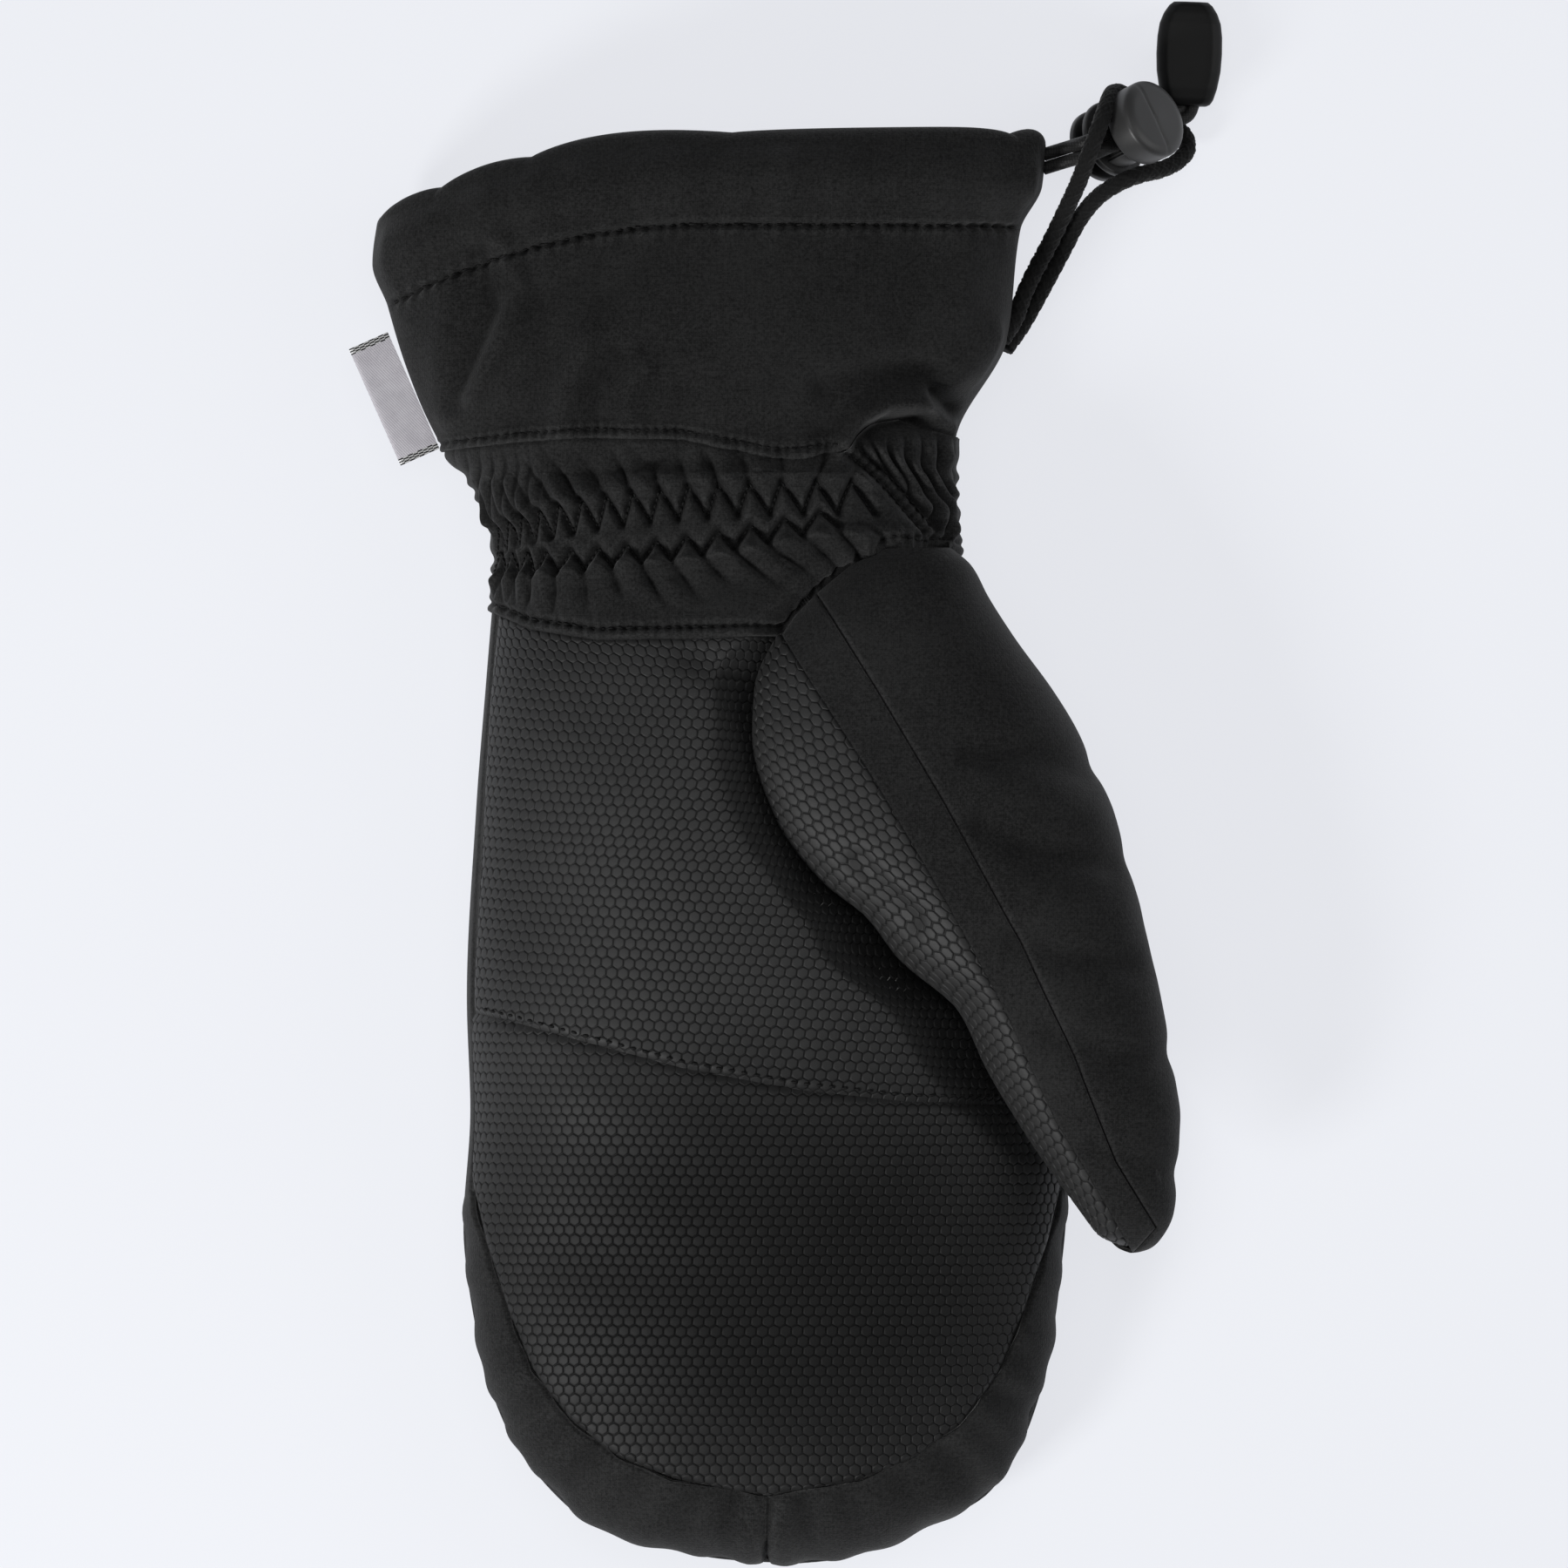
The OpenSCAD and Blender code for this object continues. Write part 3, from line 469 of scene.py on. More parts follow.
def face_relief(x, y, station):
    """Relief of the palm side of the wrist and cuff; station is the place along the form."""
    calm = 1 - ramp(station, 156, 164)
    h = gathers(x, y) * (1 - ramp(station, 100, 108))
    h = h + with_creases(0, x, y, CUFF_FOLDS) * ramp(station, 84, 92)
    h = h + hem_puckers(x, station) * calm
    return h + 0.35 * ripple(x, y, 17, 0.4) * calm


def back_relief(x, y, station):
    """Relief of the underside: gathers at the wrist and nothing deep where it rests."""
    wave = x + 1.2 * np.sin(station / 4.1 + x / 9)
    pleats = (0.5 + 0.5 * np.cos(2 * np.pi * wave / 4.6)) ** 1.4
    band = ramp(station, 56, 66) * (1 - ramp(station, 82, 94))
    share = side_share(x, station)
    return (pleats * band * 1.1 - band * 1.2) * share + side_relief(station) * (1 - share)


def palm_relief(x, y):
    """Unevenness of the padded palm."""
    return with_creases(0.6 * ripple(x, y, 24, 1.1) * ramp(y, -160, -120), x, y, PALM_FOLDS)


def thumb_relief(x, y, station=None):
    """Soft cross wrinkles of the thumb's padding."""
    return with_creases(0.45 * ripple(x, y, 19, 2.3), x, y, THUMB_FOLDS)


def no_relief(x, y, station):
    return 0 * x


# ---- meshes ----


def make_object(name, points_mm, faces, material=None, smooth=True):
    mesh = bpy.data.meshes.new(name)
    points = np.asarray(points_mm, float).reshape(-1, 3) * MM
    mesh.from_pydata(points.tolist(), [], [tuple(f) for f in faces])
    mesh.validate()
    mesh.polygons.foreach_set("use_smooth", [smooth] * len(mesh.polygons))
    mesh.update()
    obj = bpy.data.objects.new(name, mesh)
    bpy.context.scene.collection.objects.link(obj)
    if material is not None:
        mesh.materials.append(material)
    return obj


def grid_faces(rows, cols, start=0, flip=False, wrap=False):
    """Quads of a grid of points; wrap joins the last column to the first."""
    last = cols if wrap else cols - 1
    faces = []
    for r in range(rows - 1):
        for c in range(last):
            d = (c + 1) % cols
            quad = [r * cols + c, r * cols + d, (r + 1) * cols + d, (r + 1) * cols + c]
            quad = [start + i for i in quad]
            faces.append(quad[::-1] if flip else quad)
    return faces


def tube_faces(rows, around):
    """Faces of a tube made of rings, closed at both ends."""
    faces = grid_faces(rows, around, 0, False, True)
    faces.append(list(range(around))[::-1])
    faces.append([(rows - 1) * around + k for k in range(around)])
    return faces


def circle(across, up, count):
    """Points of a unit circle in the plane of two directions."""
    turn = np.linspace(0, 2 * np.pi, count + 1)[:-1, None]
    return np.cos(turn) * across + np.sin(turn) * up


def run_of(points):
    """Length along a line at each of its points."""
    steps = np.linalg.norm(np.diff(points, axis=0), axis=-1)
    return np.concatenate([[0], np.cumsum(steps)])


def closed_sheet(name, outer, inner, material):
    """Sheet with thickness between two grids of points."""
    rows, cols = outer.shape[:2]
    count = rows * cols
    faces = grid_faces(rows, cols, 0, True) + grid_faces(rows, cols, count)
    left = [r * cols for r in range(rows)]
    right = [r * cols + cols - 1 for r in range(rows)]
    bottom = list(range(cols))
    top = [(rows - 1) * cols + c for c in range(cols)]
    for line, forward in ((left, True), (right, False), (bottom, False), (top, True)):
        for a, b in zip(line[:-1], line[1:]):
            quad = [a, b, b + count, a + count]
            faces.append(quad if forward else quad[::-1])
    points = np.concatenate([outer.reshape(-1, 3), inner.reshape(-1, 3)])
    return make_object(name, points, faces, material)


def edge_distances(points):
    """Distance of each point of a grid from the grid's four edges: left, right, bottom, top."""
    along_cols = np.linalg.norm(np.diff(points, axis=1), axis=-1)
    along_rows = np.linalg.norm(np.diff(points, axis=0), axis=-1)
    left = np.concatenate([np.zeros((points.shape[0], 1)), np.cumsum(along_cols, 1)], 1)
    bottom = np.concatenate([np.zeros((1, points.shape[1])), np.cumsum(along_rows, 0)], 0)
    return left, left[:, -1:] - left, bottom, bottom[-1:, :] - bottom


def tucked(distances, tucks):
    """How far a panel's edges turn in at its seams; each tuck is a depth and a width."""
    total = np.zeros(distances[0].shape)
    for distance, tuck in zip(distances, tucks):
        if tuck:
            depth, width = tuck
            total = np.maximum(total, depth * np.exp(-((distance / width) ** 2)))
    return total


def panel(name, form, y, angle, relief, tucks, material):
    """Cloth panel over a grid of stations and angles of one form."""
    y, angle = np.broadcast_arrays(y, angle)
    base, normal = surface(form, y, angle)
    height = relief(base[..., 0], base[..., 1], y) - tucked(edge_distances(base), tucks)
    outer = base + normal * height[..., None]
    return closed_sheet(name, outer, outer - normal * SHELL_T, material)


def between(first, second, count):
    """Grid of values from first to second; both are lists of the same length."""
    t = np.linspace(0, 1, count)[:, None]
    return np.asarray(first, float)[None, :] * (1 - t) + np.asarray(second, float)[None, :] * t


def unroll_table(form, ys, angles, zero_angle):
    """Angle of a form at stations ys for even steps of arc length from the zero angle."""
    rows = []
    reach = np.arange(-140, 140.01, 0.5)
    for y in ys:
        points = form(np.full(angles.shape, y), angles)
        length = run_of(points)
        zero = np.interp(zero_angle(y), angles, length)
        rows.append(np.interp(reach, zero - length[::-1], angles[::-1]))
    return np.array(rows), reach


def sample_table(table, ys, reach, y, u):
    """Value of an even table at scattered places."""
    fy = np.clip((y - ys[0]) / (ys[1] - ys[0]), 0, len(ys) - 1.001)
    fu = np.clip((u - reach[0]) / (reach[1] - reach[0]), 0, len(reach) - 1.001)
    i, j = fy.astype(int), fu.astype(int)
    a, b = fy - i, fu - j
    low = table[i, j] * (1 - b) + table[i, j + 1] * b
    high = table[i + 1, j] * (1 - b) + table[i + 1, j + 1] * b
    return low * (1 - a) + high * a


ROW_STEP = 0.8660254    # rows of hexagons, as a share of their pitch
# Rings of one embossed hexagon: share of its size and depth; the last one is the groove.
HEX_RINGS = ((0.7, 0.0), (0.8, 0.02), (0.9, 0.16), (1.0, 0.46))
GROOVE_DEPTH = 0.42


def hex_mesh(pitch, turn, u_range, y_range):
    """Flat field of embossed hexagons: places (u, y), depths and faces."""
    size = pitch / math.sqrt(3)
    c, s = math.cos(math.radians(turn)), math.sin(math.radians(turn))
    reach = int(1.5 * max(u_range[1] - u_range[0], y_range[1] - y_range[0]) / pitch)
    i, j = np.meshgrid(np.arange(-reach, reach), np.arange(-reach, reach))
    flat_x = pitch * (i + 0.5 * (j % 2))
    flat_y = pitch * ROW_STEP * j
    cu = (flat_x * c - flat_y * s + sum(u_range) / 2).ravel()
    cy = (flat_x * s + flat_y * c + sum(y_range) / 2).ravel()
    keep = (cu > u_range[0]) & (cu < u_range[1]) & (cy > y_range[0]) & (cy < y_range[1])
    cu, cy = cu[keep], cy[keep]
    corners = np.radians(30 + turn + 60 * np.arange(6))
    places, depths = [np.stack([cu, cy], -1)[:, None, :]], [np.zeros((len(cu), 1))]
    for share, depth in HEX_RINGS:
        ring = np.stack([cu[:, None] + size * share * np.cos(corners),
                         cy[:, None] + size * share * np.sin(corners)], -1)
        places.append(ring)
        depths.append(np.full((len(cu), 6), -depth))
    places = np.concatenate(places, 1)
    depths = np.concatenate(depths, 1)
    per_cell = 1 + 6 * len(HEX_RINGS)
    first = (np.arange(len(cu)) * per_cell)[:, None]
    cells = []
    for k in range(6):
        n = (k + 1) % 6
        cells.append((0, 1 + k, 1 + n, 1 + n))
        for ring in range(1, per_cell - 6, 6):
            cells.append((ring + k, ring + 6 + k, ring + 6 + n, ring + n))
    faces = (first[:, :, None] + np.array(cells)[None]).reshape(-1, 4)
    # neighbouring hexagons share their outer corners
    flat = places.reshape(-1, 2)
    keys = np.round(flat * 200).astype(np.int64)
    _, keep_at, merged = np.unique(keys, axis=0, return_index=True, return_inverse=True)
    return flat[keep_at], depths.ravel()[keep_at], merged.ravel()[faces]


def face_lists(faces, outside):
    """Faces without the ones that lie wholly outside, and with fans as triangles."""
    kept = []
    for face in faces[~outside[faces].all(axis=1)].tolist():
        if face[2] == face[3]:
            face = face[:3]
        if len(set(face)) == len(face):
            kept.append(face)
    return kept


def embossed_object(name, points, faces, depth, material):
    """Leather object that keeps how deep each point of the embossing lies, for the painted shade in
    its grooves.
    """
    obj = make_object(name, points, faces, material)
    attribute = obj.data.attributes.new("groove", "FLOAT", "POINT")
    attribute.data.foreach_set("value", np.clip(-depth / GROOVE_DEPTH, 0, 1).astype(np.float32))
    return obj


# ---- leather panels ----

STATIONS = np.arange(-165, 166, 1.0)
HAND_TABLE, HAND_REACH = unroll_table(
    hand_form, STATIONS, np.arange(0, 180.1, 0.5), lambda y: hand_angle(y, 0.0))
THUMB_STATIONS = np.arange(-93, 70, 1.0)
THUMB_TABLE, THUMB_REACH = unroll_table(
    thumb_form, THUMB_STATIONS, np.arange(-60, 260.1, 0.5), lambda y: 90.0)


def palm_right_x(y):
    """How far the palm's leather goes to the right, a little way in under the thumb."""
    under = thumb_left(y) + np.interp(y, [-13, 20, 45], [14, 13, 3])
    return np.where(y > -13, under, np.interp(y, [-24, -13], [71, float(thumb_left(-13.0)) + 14]))


def leather_points(y, angle, depth, edge):
    """Leather surface: the palm's relief, the embossing and the edges turned in."""
    base, normal = surface(hand_form, y, angle)
    flat_rim = ramp(edge, 0.0, 0.9)
    height = palm_relief(base[:, 0], base[:, 1]) + depth * (0.35 + 0.65 * flat_rim)
    height = height - 1.1 * np.exp(-((edge / 0.8) ** 2))
    return base + normal * height[:, None]


def palm_upper_leather(material):
    places, depth, faces = hex_mesh(HEX_PITCH, -3, (-95, 85), (-62, 72))
    u, y = places[:, 0], places[:, 1]
    angle = sample_table(HAND_TABLE, STATIONS, HAND_REACH, y, u)
    wide = angle > 180 - SIDE_SEAM
    right = hand_angle(y, palm_right_x(y))
    right = np.maximum(right, np.interp(y, [-24, -13], [SIDE_SEAM, 0]))
    narrow = angle < right
    angle = np.clip(angle, right, 180 - SIDE_SEAM)
    x = hand_form(y, angle)[:, 0]
    bottom, top = along(CROSS_SEAM_Y, x) + 0.1, along(WRIST_SEAM_Y, x) + 0.3
    outside = wide | narrow | (y < bottom) | (y > top)
    y_in = np.clip(y, bottom, top)
    angle = np.clip(angle, hand_angle(y_in, palm_right_x(y_in)), 180 - SIDE_SEAM)
    left_x = hand_form(y_in, np.full(y_in.shape, 180 - SIDE_SEAM))[:, 0]
    edge = np.minimum(np.minimum(y_in - bottom, top - y_in), 1.6 * (x - left_x))
    points = leather_points(y_in, angle, depth, np.maximum(edge, 0))
    obj = embossed_object("palm_upper_leather", points, face_lists(faces, outside), depth, material)
    return finish_piece(obj, node="palm_upper")


def palm_finger_leather(material):
    places, depth, faces = hex_mesh(HEX_PITCH, 0, (-95, 95), (-156, -28))
    u, y = places[:, 0], places[:, 1] + 0.4
    angle = sample_table(HAND_TABLE, STATIONS, HAND_REACH, y, u)
    x = hand_form(y, angle)[:, 0]
    # the rounded end of the leather, as a distance from the middle in each direction
    rows = np.array(LEATHER_TIP_W)
    fine_y = np.linspace(rows[0, 0], -60, 200)
    fine_w = np.interp(fine_y, rows[:, 0], rows[:, 1])
    heading = np.degrees(np.arctan2(fine_w, -(fine_y + 95)))
    radius = np.hypot(fine_w, fine_y + 95)
    dx, dy = x - TIP_MID_X, y + 95
    away = np.hypot(dx, dy)
    limit = np.interp(np.degrees(np.arctan2(np.abs(dx), -dy)), heading, radius)
    low_part = y < -62
    shrink = np.where(low_part & (away > limit), limit / np.maximum(away, 1e-6), 1)
    y_in = np.where(low_part, -95 + dy * shrink, y)
    x_in = TIP_MID_X + dx * shrink
    side = np.maximum(0.5, SIDE_SEAM * ramp(y_in, -95, -78))
    angle_in = np.where(shrink < 1, hand_angle(y_in, x_in), angle)
    wide = (angle_in > 180 - side) | (angle_in < side)
    angle_in = np.clip(angle_in, side, 180 - side)
    x_in = hand_form(y_in, angle_in)[:, 0]
    top = along(CROSS_SEAM_Y, x_in) + 0.4
    outside = (shrink < 1) | wide | (y_in > top)
    y_in = np.minimum(y_in, top)
    rim = np.where(low_part, limit - away, 6.0)
    edge = np.minimum(np.maximum(rim, 0), top - y_in)
    points = leather_points(y_in, angle_in, depth - 0.5 * np.exp(-((top - y_in) / 2) ** 2), edge)
    obj = embossed_object("palm_finger_leather", points, face_lists(faces, outside), depth, material)
    return finish_piece(obj, node="palm_fingers")


def thumb_leather_piece(material):
    places, depth, faces = hex_mesh(2.8, 21.8, (-75, 70), (-96, 56))
    u, y = places[:, 0], np.clip(places[:, 1], -92.0, 50.0)
    angle = sample_table(THUMB_TABLE, THUMB_STATIONS, THUMB_REACH, y, u)
    seam = thumb_angle(y, along(LEATHER_SEAM_X, y))
    end = 222.0
    outside = (angle < seam) | (angle > end) | (np.abs(places[:, 1] - y) > 0)
    angle_in = np.clip(angle, seam, end)
    base, normal = surface(thumb_form, y, angle_in)
    seam_point = thumb_form(y, seam)
    edge = np.minimum(np.linalg.norm(base - seam_point, axis=-1), 50 - y + 0.2)
    height = thumb_relief(base[:, 0], base[:, 1]) + depth * (0.3 + 0.7 * ramp(edge, 0, 0.9))
    height = height - 0.7 * np.exp(-((edge / 0.7) ** 2))
    height = height - 1.2 * (1 - ramp(y, -92, -88))
    points = base + normal * height[:, None]
    obj = embossed_object("thumb_leather_panel", points, face_lists(faces, outside), depth, material)
    return finish_thumb(obj, node="thumb_leather")


# ---- how the pieces ride ----


def finish_piece(obj, body="mitten", node=None):
    """Hides the CAD node that a piece stands for, and gives the piece its body."""
    if node is not None:
        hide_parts(node)
    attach(obj, body)
    return obj


def finish_thumb(obj, node=None):
    """For a piece of the thumb, which is sewn to the wrist: hides its CAD node and bakes its transform
    into its mesh.
    """
    if node is not None:
        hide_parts(node)
    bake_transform(obj)
    return obj


# ---- cloth panels ----


SEAM_TUCK = (0.9, 0.8)  # depth and width of a turned-in edge


def back_of_hand(shell):
    """Back of the hand, up to the leather on both sides and on under the thumb."""
    tip_y = HAND_TIP_Y + 75 * np.linspace(0, 1, 60) ** 2
    y = np.concatenate([tip_y, np.linspace(-88.5, HAND_END_Y, 100)])
    side_angle = SIDE_SEAM * ramp(y, -95, -78)
    under_thumb = np.where((y > -24) & (y < 60), hand_angle(y, palm_right_x(y) - 1.5), 0)
    angle = between(180 - side_angle, 360 + np.maximum(side_angle, under_thumb), 190).T
    beside = ramp(np.abs(angle - 270), 84, 90)
    y = y[:, None] + 6.5 * beside * ramp(y, 30, HAND_END_Y)[:, None]
    obj = panel("hand_back_cloth", hand_form, y, angle, no_relief,
                (SEAM_TUCK, SEAM_TUCK, None, None), shell)
    finish_piece(obj, node="hand_back")


def tip_bands(shell):
    """Bands round the fingertips, from the middle of the tip along both sides."""
    y = HAND_TIP_Y + 89 * np.linspace(0, 1, 110) ** 2
    away = np.where(y < -148.6, 0.0, along(LEATHER_TIP_W, np.maximum(y, -148.6)))
    left = between(hand_angle(y, TIP_MID_X - away), np.full(y.shape, 180.0), 60).T
    right = between(np.zeros(y.shape), hand_angle(y, TIP_MID_X + away), 60).T
    for side, angle in (("left", left), ("right", right)):
        obj = panel(f"tip_band_{side}_cloth", hand_form, y[:, None], angle, tip_relief,
                    (SEAM_TUCK, SEAM_TUCK, None, None), shell)
        finish_piece(obj, node=f"tip_band_{side}")


def wrist_and_cuff(shell):
    """Wrist and cuff: two panels on the palm side and the same two on the back."""
    angle = np.linspace(0, 180, 330)
    x = hand_form(np.full(angle.shape, 58.0), angle)[:, 0]
    wrist_y = along(WRIST_SEAM_Y, x)
    seam_y = along(GAUNTLET_SEAM_Y, hand_form(np.full(angle.shape, 94.0), angle)[:, 0])
    under_thumb = (wrist_y - 47) * ramp(x, 5, 12)
    hem_y = np.full(angle.shape, HEM_Y)
    palm = [
        ("wrist_palm", between(wrist_y - 0.7 - under_thumb, seam_y, 130), wrist_over_palm,
         (None, None, (0.5, 0.5), None)),
        ("gauntlet_palm", between(seam_y - 0.6, hem_y, 90), gauntlet_over,
         (None, None, (0.3, 0.5), None)),
    ]
    back_angle = np.linspace(180, 360, 240)
    level = np.ones(back_angle.shape)
    back = [
        ("wrist_back", between(HAND_END_Y * level, 94 * level, 60), back_relief,
         (None, None, SEAM_TUCK, SEAM_TUCK)),
        ("gauntlet_back", between(94 * level, HEM_Y * level, 40), no_relief,
         (None, None, SEAM_TUCK, None)),
    ]
    for panels, across in ((palm, angle), (back, back_angle)):
        for node, y, relief, tucks in panels:
            obj = panel(node + "_cloth", hand_form, y, across, relief, tucks, shell)
            finish_piece(obj, node=node)


def tip_relief(x, y, station):
    """Scallops and cross wrinkles where the band is pulled in along the leather's seam."""
    turn = np.degrees(np.arctan2(np.abs(x - TIP_MID_X), -(y + 95)))
    beat = np.sin(turn / 2.3 + 1.1 * np.sin(turn / 9)) * np.sin(turn / 5.7 + 0.4)
    seam = 1.1 * np.exp(-(((x - TIP_MID_X) / 0.55) ** 2))
    return 0.75 * beat + 0.5 * ripple(x, y, 12, 0.9) * ramp(station, -162, -150) - seam


def wrist_over_palm(x, y, station):
    """The wrist's folded edge lies on top of the leather."""
    above = y - along(WRIST_SEAM_Y, x)
    fold = 0.9 * ramp(above, -0.8, -0.1) + stitch_dents(above - 1.9, x, 2.5, 0.9)
    below_cuff = along(GAUNTLET_SEAM_Y, x) - station
    under = 0.9 * np.exp(-((below_cuff / 0.9) ** 2)) * (1 - ramp(x, 13, 18))
    palm = palm_relief(x, y) * (1 - ramp(above, 0, 8))
    return palm + cuff_relief(x, y, station) + fold - under


def gauntlet_over(x, y, station):
    """The cuff's folded and stitched edge lies on top of the wrist."""
    above = station - along(GAUNTLET_SEAM_Y, x)
    fold = 0.8 * ramp(above, -0.7, 0.0) * (1 - ramp(above, 1.4, 4.0))
    stitch = stitch_dents(above - 1.7, x, 2.3, 0.8)
    return cuff_relief(x, y, station) + (fold + stitch) * (1 - ramp(x, 13, 18))


HEM_TURN = 2.4          # how far below the rim the hem's cloth starts to turn over


def hem_piece(shell):
    """The hem: one cloth that turns over the rim and goes back down inside."""
    angle = np.linspace(0, 360, 420)[:-1]
    off_seams = np.minimum(ramp(angle, 0, 14), 1 - ramp(angle, 166, 180)) * (angle < 180)
    rim = 1.6 * np.abs(np.sin(angle / 12.0 + 1.2 * np.sin(angle / 21))) ** 0.7 - 0.9
    # each row of the cloth: station, depth under the form and share of the relief
    rows = [(y, 0.0, 1.0) for y in np.linspace(HEM_Y, RIM_Y - HEM_TURN, 42)]
    for t in np.radians(np.linspace(0, 180, 13)[1:-1]):
        over = RIM_Y - HEM_TURN + 2.6 * math.sin(t)
        rows.append((over, 2.9 * (1 - math.cos(t)), max(0.0, math.cos(t))))
    rows += [(y, 5.8, 0.0) for y in np.linspace(RIM_Y - HEM_TURN, HEM_Y - 2, 16)]
    outer = []
    for y, depth, share in rows:
        base, normal = surface(hand_form, np.full(angle.shape, min(y, RIM_Y)), angle, depth)
        base[:, 1] += max(0.0, y - RIM_Y)
        height = cuff_relief(base[:, 0], base[:, 1], np.full(angle.shape, y)) * off_seams * share
        base[:, 1] += rim * ramp(y, RIM_Y - 8, RIM_Y - 1) * (1 if depth < 5 else 0.4)
        outer.append(base + normal * height[:, None])
    faces = grid_faces(len(rows), len(angle), 0, True, True)
    obj = make_object("hem_cloth", outer, faces, shell)
    finish_piece(obj, node="hem_tunnel")


def inner_layer(name, node, y_range, depth, material, relief_share):
    """A layer inside the wrist and cuff, under the outer cloth."""
    angle = np.linspace(0, 360, 241)[:-1]
    y = np.linspace(*y_range, 60)[:, None]
    base, normal = surface(hand_form, y, angle, depth)
    share = np.minimum(ramp(angle, 0, 14), 1 - ramp(angle, 166, 180)) * (angle < 180)
    relief = cuff_relief(base[..., 0], base[..., 1], np.broadcast_to(y, base.shape[:2]))
    height = relief_share * np.minimum(relief, 1.0) * share
    points = base + normal * height[..., None]
    obj = make_object(name, points, grid_faces(60, len(angle), 0, True, True), material)
    finish_piece(obj, node=node)


def hand_layer(name, node, angles, depth, material):
    """A layer inside the hand, under the outer cloth or leather."""
    tip_y = HAND_TIP_Y + 60 * np.linspace(0, 1, 30) ** 2
    y = np.concatenate([tip_y, np.linspace(-102, 46, 60)])
    points, _ = surface(hand_form, y[:, None], np.linspace(*angles, 80), depth)
    obj = make_object(name, points, grid_faces(len(y), 80, 0, True), material)
    finish_piece(obj, node=node)


def thumb_allowance(shell):
    """Seam allowance that joins the thumb's base to the wrist's folded edge."""
    y = np.linspace(48.5, THUMB_END_Y, 40)
    side = thumb_form(y, thumb_angle(y, along(LEATHER_SEAM_X, y)) + 3)
    turn = np.linspace(float(thumb_angle(THUMB_END_Y, THUMB_END_X)), -60, 40)
    end = thumb_form(np.full(turn.shape, THUMB_END_Y), turn)
    edge = np.concatenate([side, end[1:]])
    out = np.gradient(edge, axis=0)
    out = np.stack([-out[:, 1], out[:, 0], 0 * out[:, 0]], -1)
    out /= np.maximum(np.linalg.norm(out, axis=-1, keepdims=True), 1e-6)
    rows = []
    for t in np.linspace(0, 1, 8):
        # from just inside the thumb's edge outwards, sinking to just under the wrist's cloth
        place = edge - out * 1.6 + out * 4.6 * t
        x, station = place[:, 0], place[:, 1]
        under = hand_form(station, hand_angle(station, x))[:, 2] - SHELL_T
        z = edge[:, 2] * (1 - ramp(t, 0, 0.75)) + np.minimum(under, edge[:, 2]) * ramp(t, 0, 0.75)
        rows.append(np.stack([x, station, z - 0.35 - 2.5 * ramp(x, 31, 38)], -1))
    obj = make_object("thumb_seam_allowance", np.array(rows), grid_faces(8, len(edge)), shell)
    finish_thumb(obj)


def thumb_cloth(shell):
    """The thumb's strip and back panel; the strip runs out where it reaches the wrist."""
    tip_y = THUMB_TIP_Y + 22 * np.linspace(0, 1, 40) ** 2
    y = np.concatenate([tip_y, np.linspace(-69.6, STRIP_END_Y, 140)])
    leather = thumb_angle(y, along(LEATHER_SEAM_X, y))
    back = np.minimum(thumb_angle(y, along(BACK_SEAM_X, y)), leather)
    angle = between(back, leather, 46).T
    obj = panel("thumb_strip_cloth", thumb_form, y[:, None], angle,
                thumb_relief, ((0.2, 0.5), (0.15, 0.4), None, None), shell)
    finish_thumb(obj, node="thumb_strip")
    y = np.concatenate([y, np.linspace(STRIP_END_Y + 0.4, THUMB_END_Y, 30)])
    leather = thumb_angle(y, along(LEATHER_SEAM_X, y))
    back = np.minimum(thumb_angle(y, along(BACK_SEAM_X, y)), leather)
    back = np.where(y > STRIP_END_Y, leather + 6, back)
    end = np.interp(y, [THUMB_TIP_Y, -22, -8, 20, THUMB_END_Y], [-138, -138, -95, -75, -62])
    angle = between(end, back, 150).T
    obj = panel("thumb_back_cloth", thumb_form, y[:, None], angle,
                thumb_relief, (None, (1.0, 0.6), None, None), shell)
    finish_thumb(obj, node="thumb_back")


def thumb_layer(name, node, depth, material):
    """A layer inside the thumb."""
    tip_y = THUMB_TIP_Y + 22 * np.linspace(0, 1, 20) ** 2
    y = np.concatenate([tip_y, np.linspace(-68, 44, 60)])
    points, _ = surface(thumb_form, y[:, None], np.linspace(-45, 190, 60), depth)
    obj = make_object(name, points, grid_faces(len(y), 60, 0, True), material)
    finish_thumb(obj, node=node)


def tape_piece(name, node, y_left, y_right, material):
    """Elastic tape behind a zigzag row."""
    angle = np.linspace(46, 166, 160)
    x = hand_form(np.full(angle.shape, 72.0), angle)[:, 0]
    middle = np.interp(angle, [46, 166], [y_right, y_left])
    y = between(middle - 3.4, middle + 3.4, 10)
    a = np.broadcast_to(angle, y.shape)
    base, normal = surface(hand_form, y, a, 1.9)
    ridge = 0.15 * np.cos(np.linspace(0, 8 * np.pi, 10))[:, None] + 0.1 * np.sin(x * 1.7)[None, :]
    outer = base + normal * ridge[..., None]
    obj = closed_sheet(name, outer, outer - normal * 0.5, material)
    finish_piece(obj, node=node)


# ---- tubes, stitches and small parts ----


def smooth_path(points, per_step):
    """Points of a smooth curve through given points."""
    p = [np.array(q, float) for q in points]
    p = [2 * p[0] - p[1]] + p + [2 * p[-1] - p[-2]]
    out = []
    for i in range(1, len(p) - 2):
        for t in np.arange(per_step) / per_step:
            a = 2 * p[i]
            b = p[i + 1] - p[i - 1]
            c = 2 * p[i - 1] - 5 * p[i] + 4 * p[i + 1] - p[i + 2]
            d = 3 * (p[i] - p[i + 1]) + p[i + 2] - p[i - 1]
            out.append(0.5 * (a + b * t + c * t * t + d * t**3))
    out.append(p[-2])
    return np.array(out)


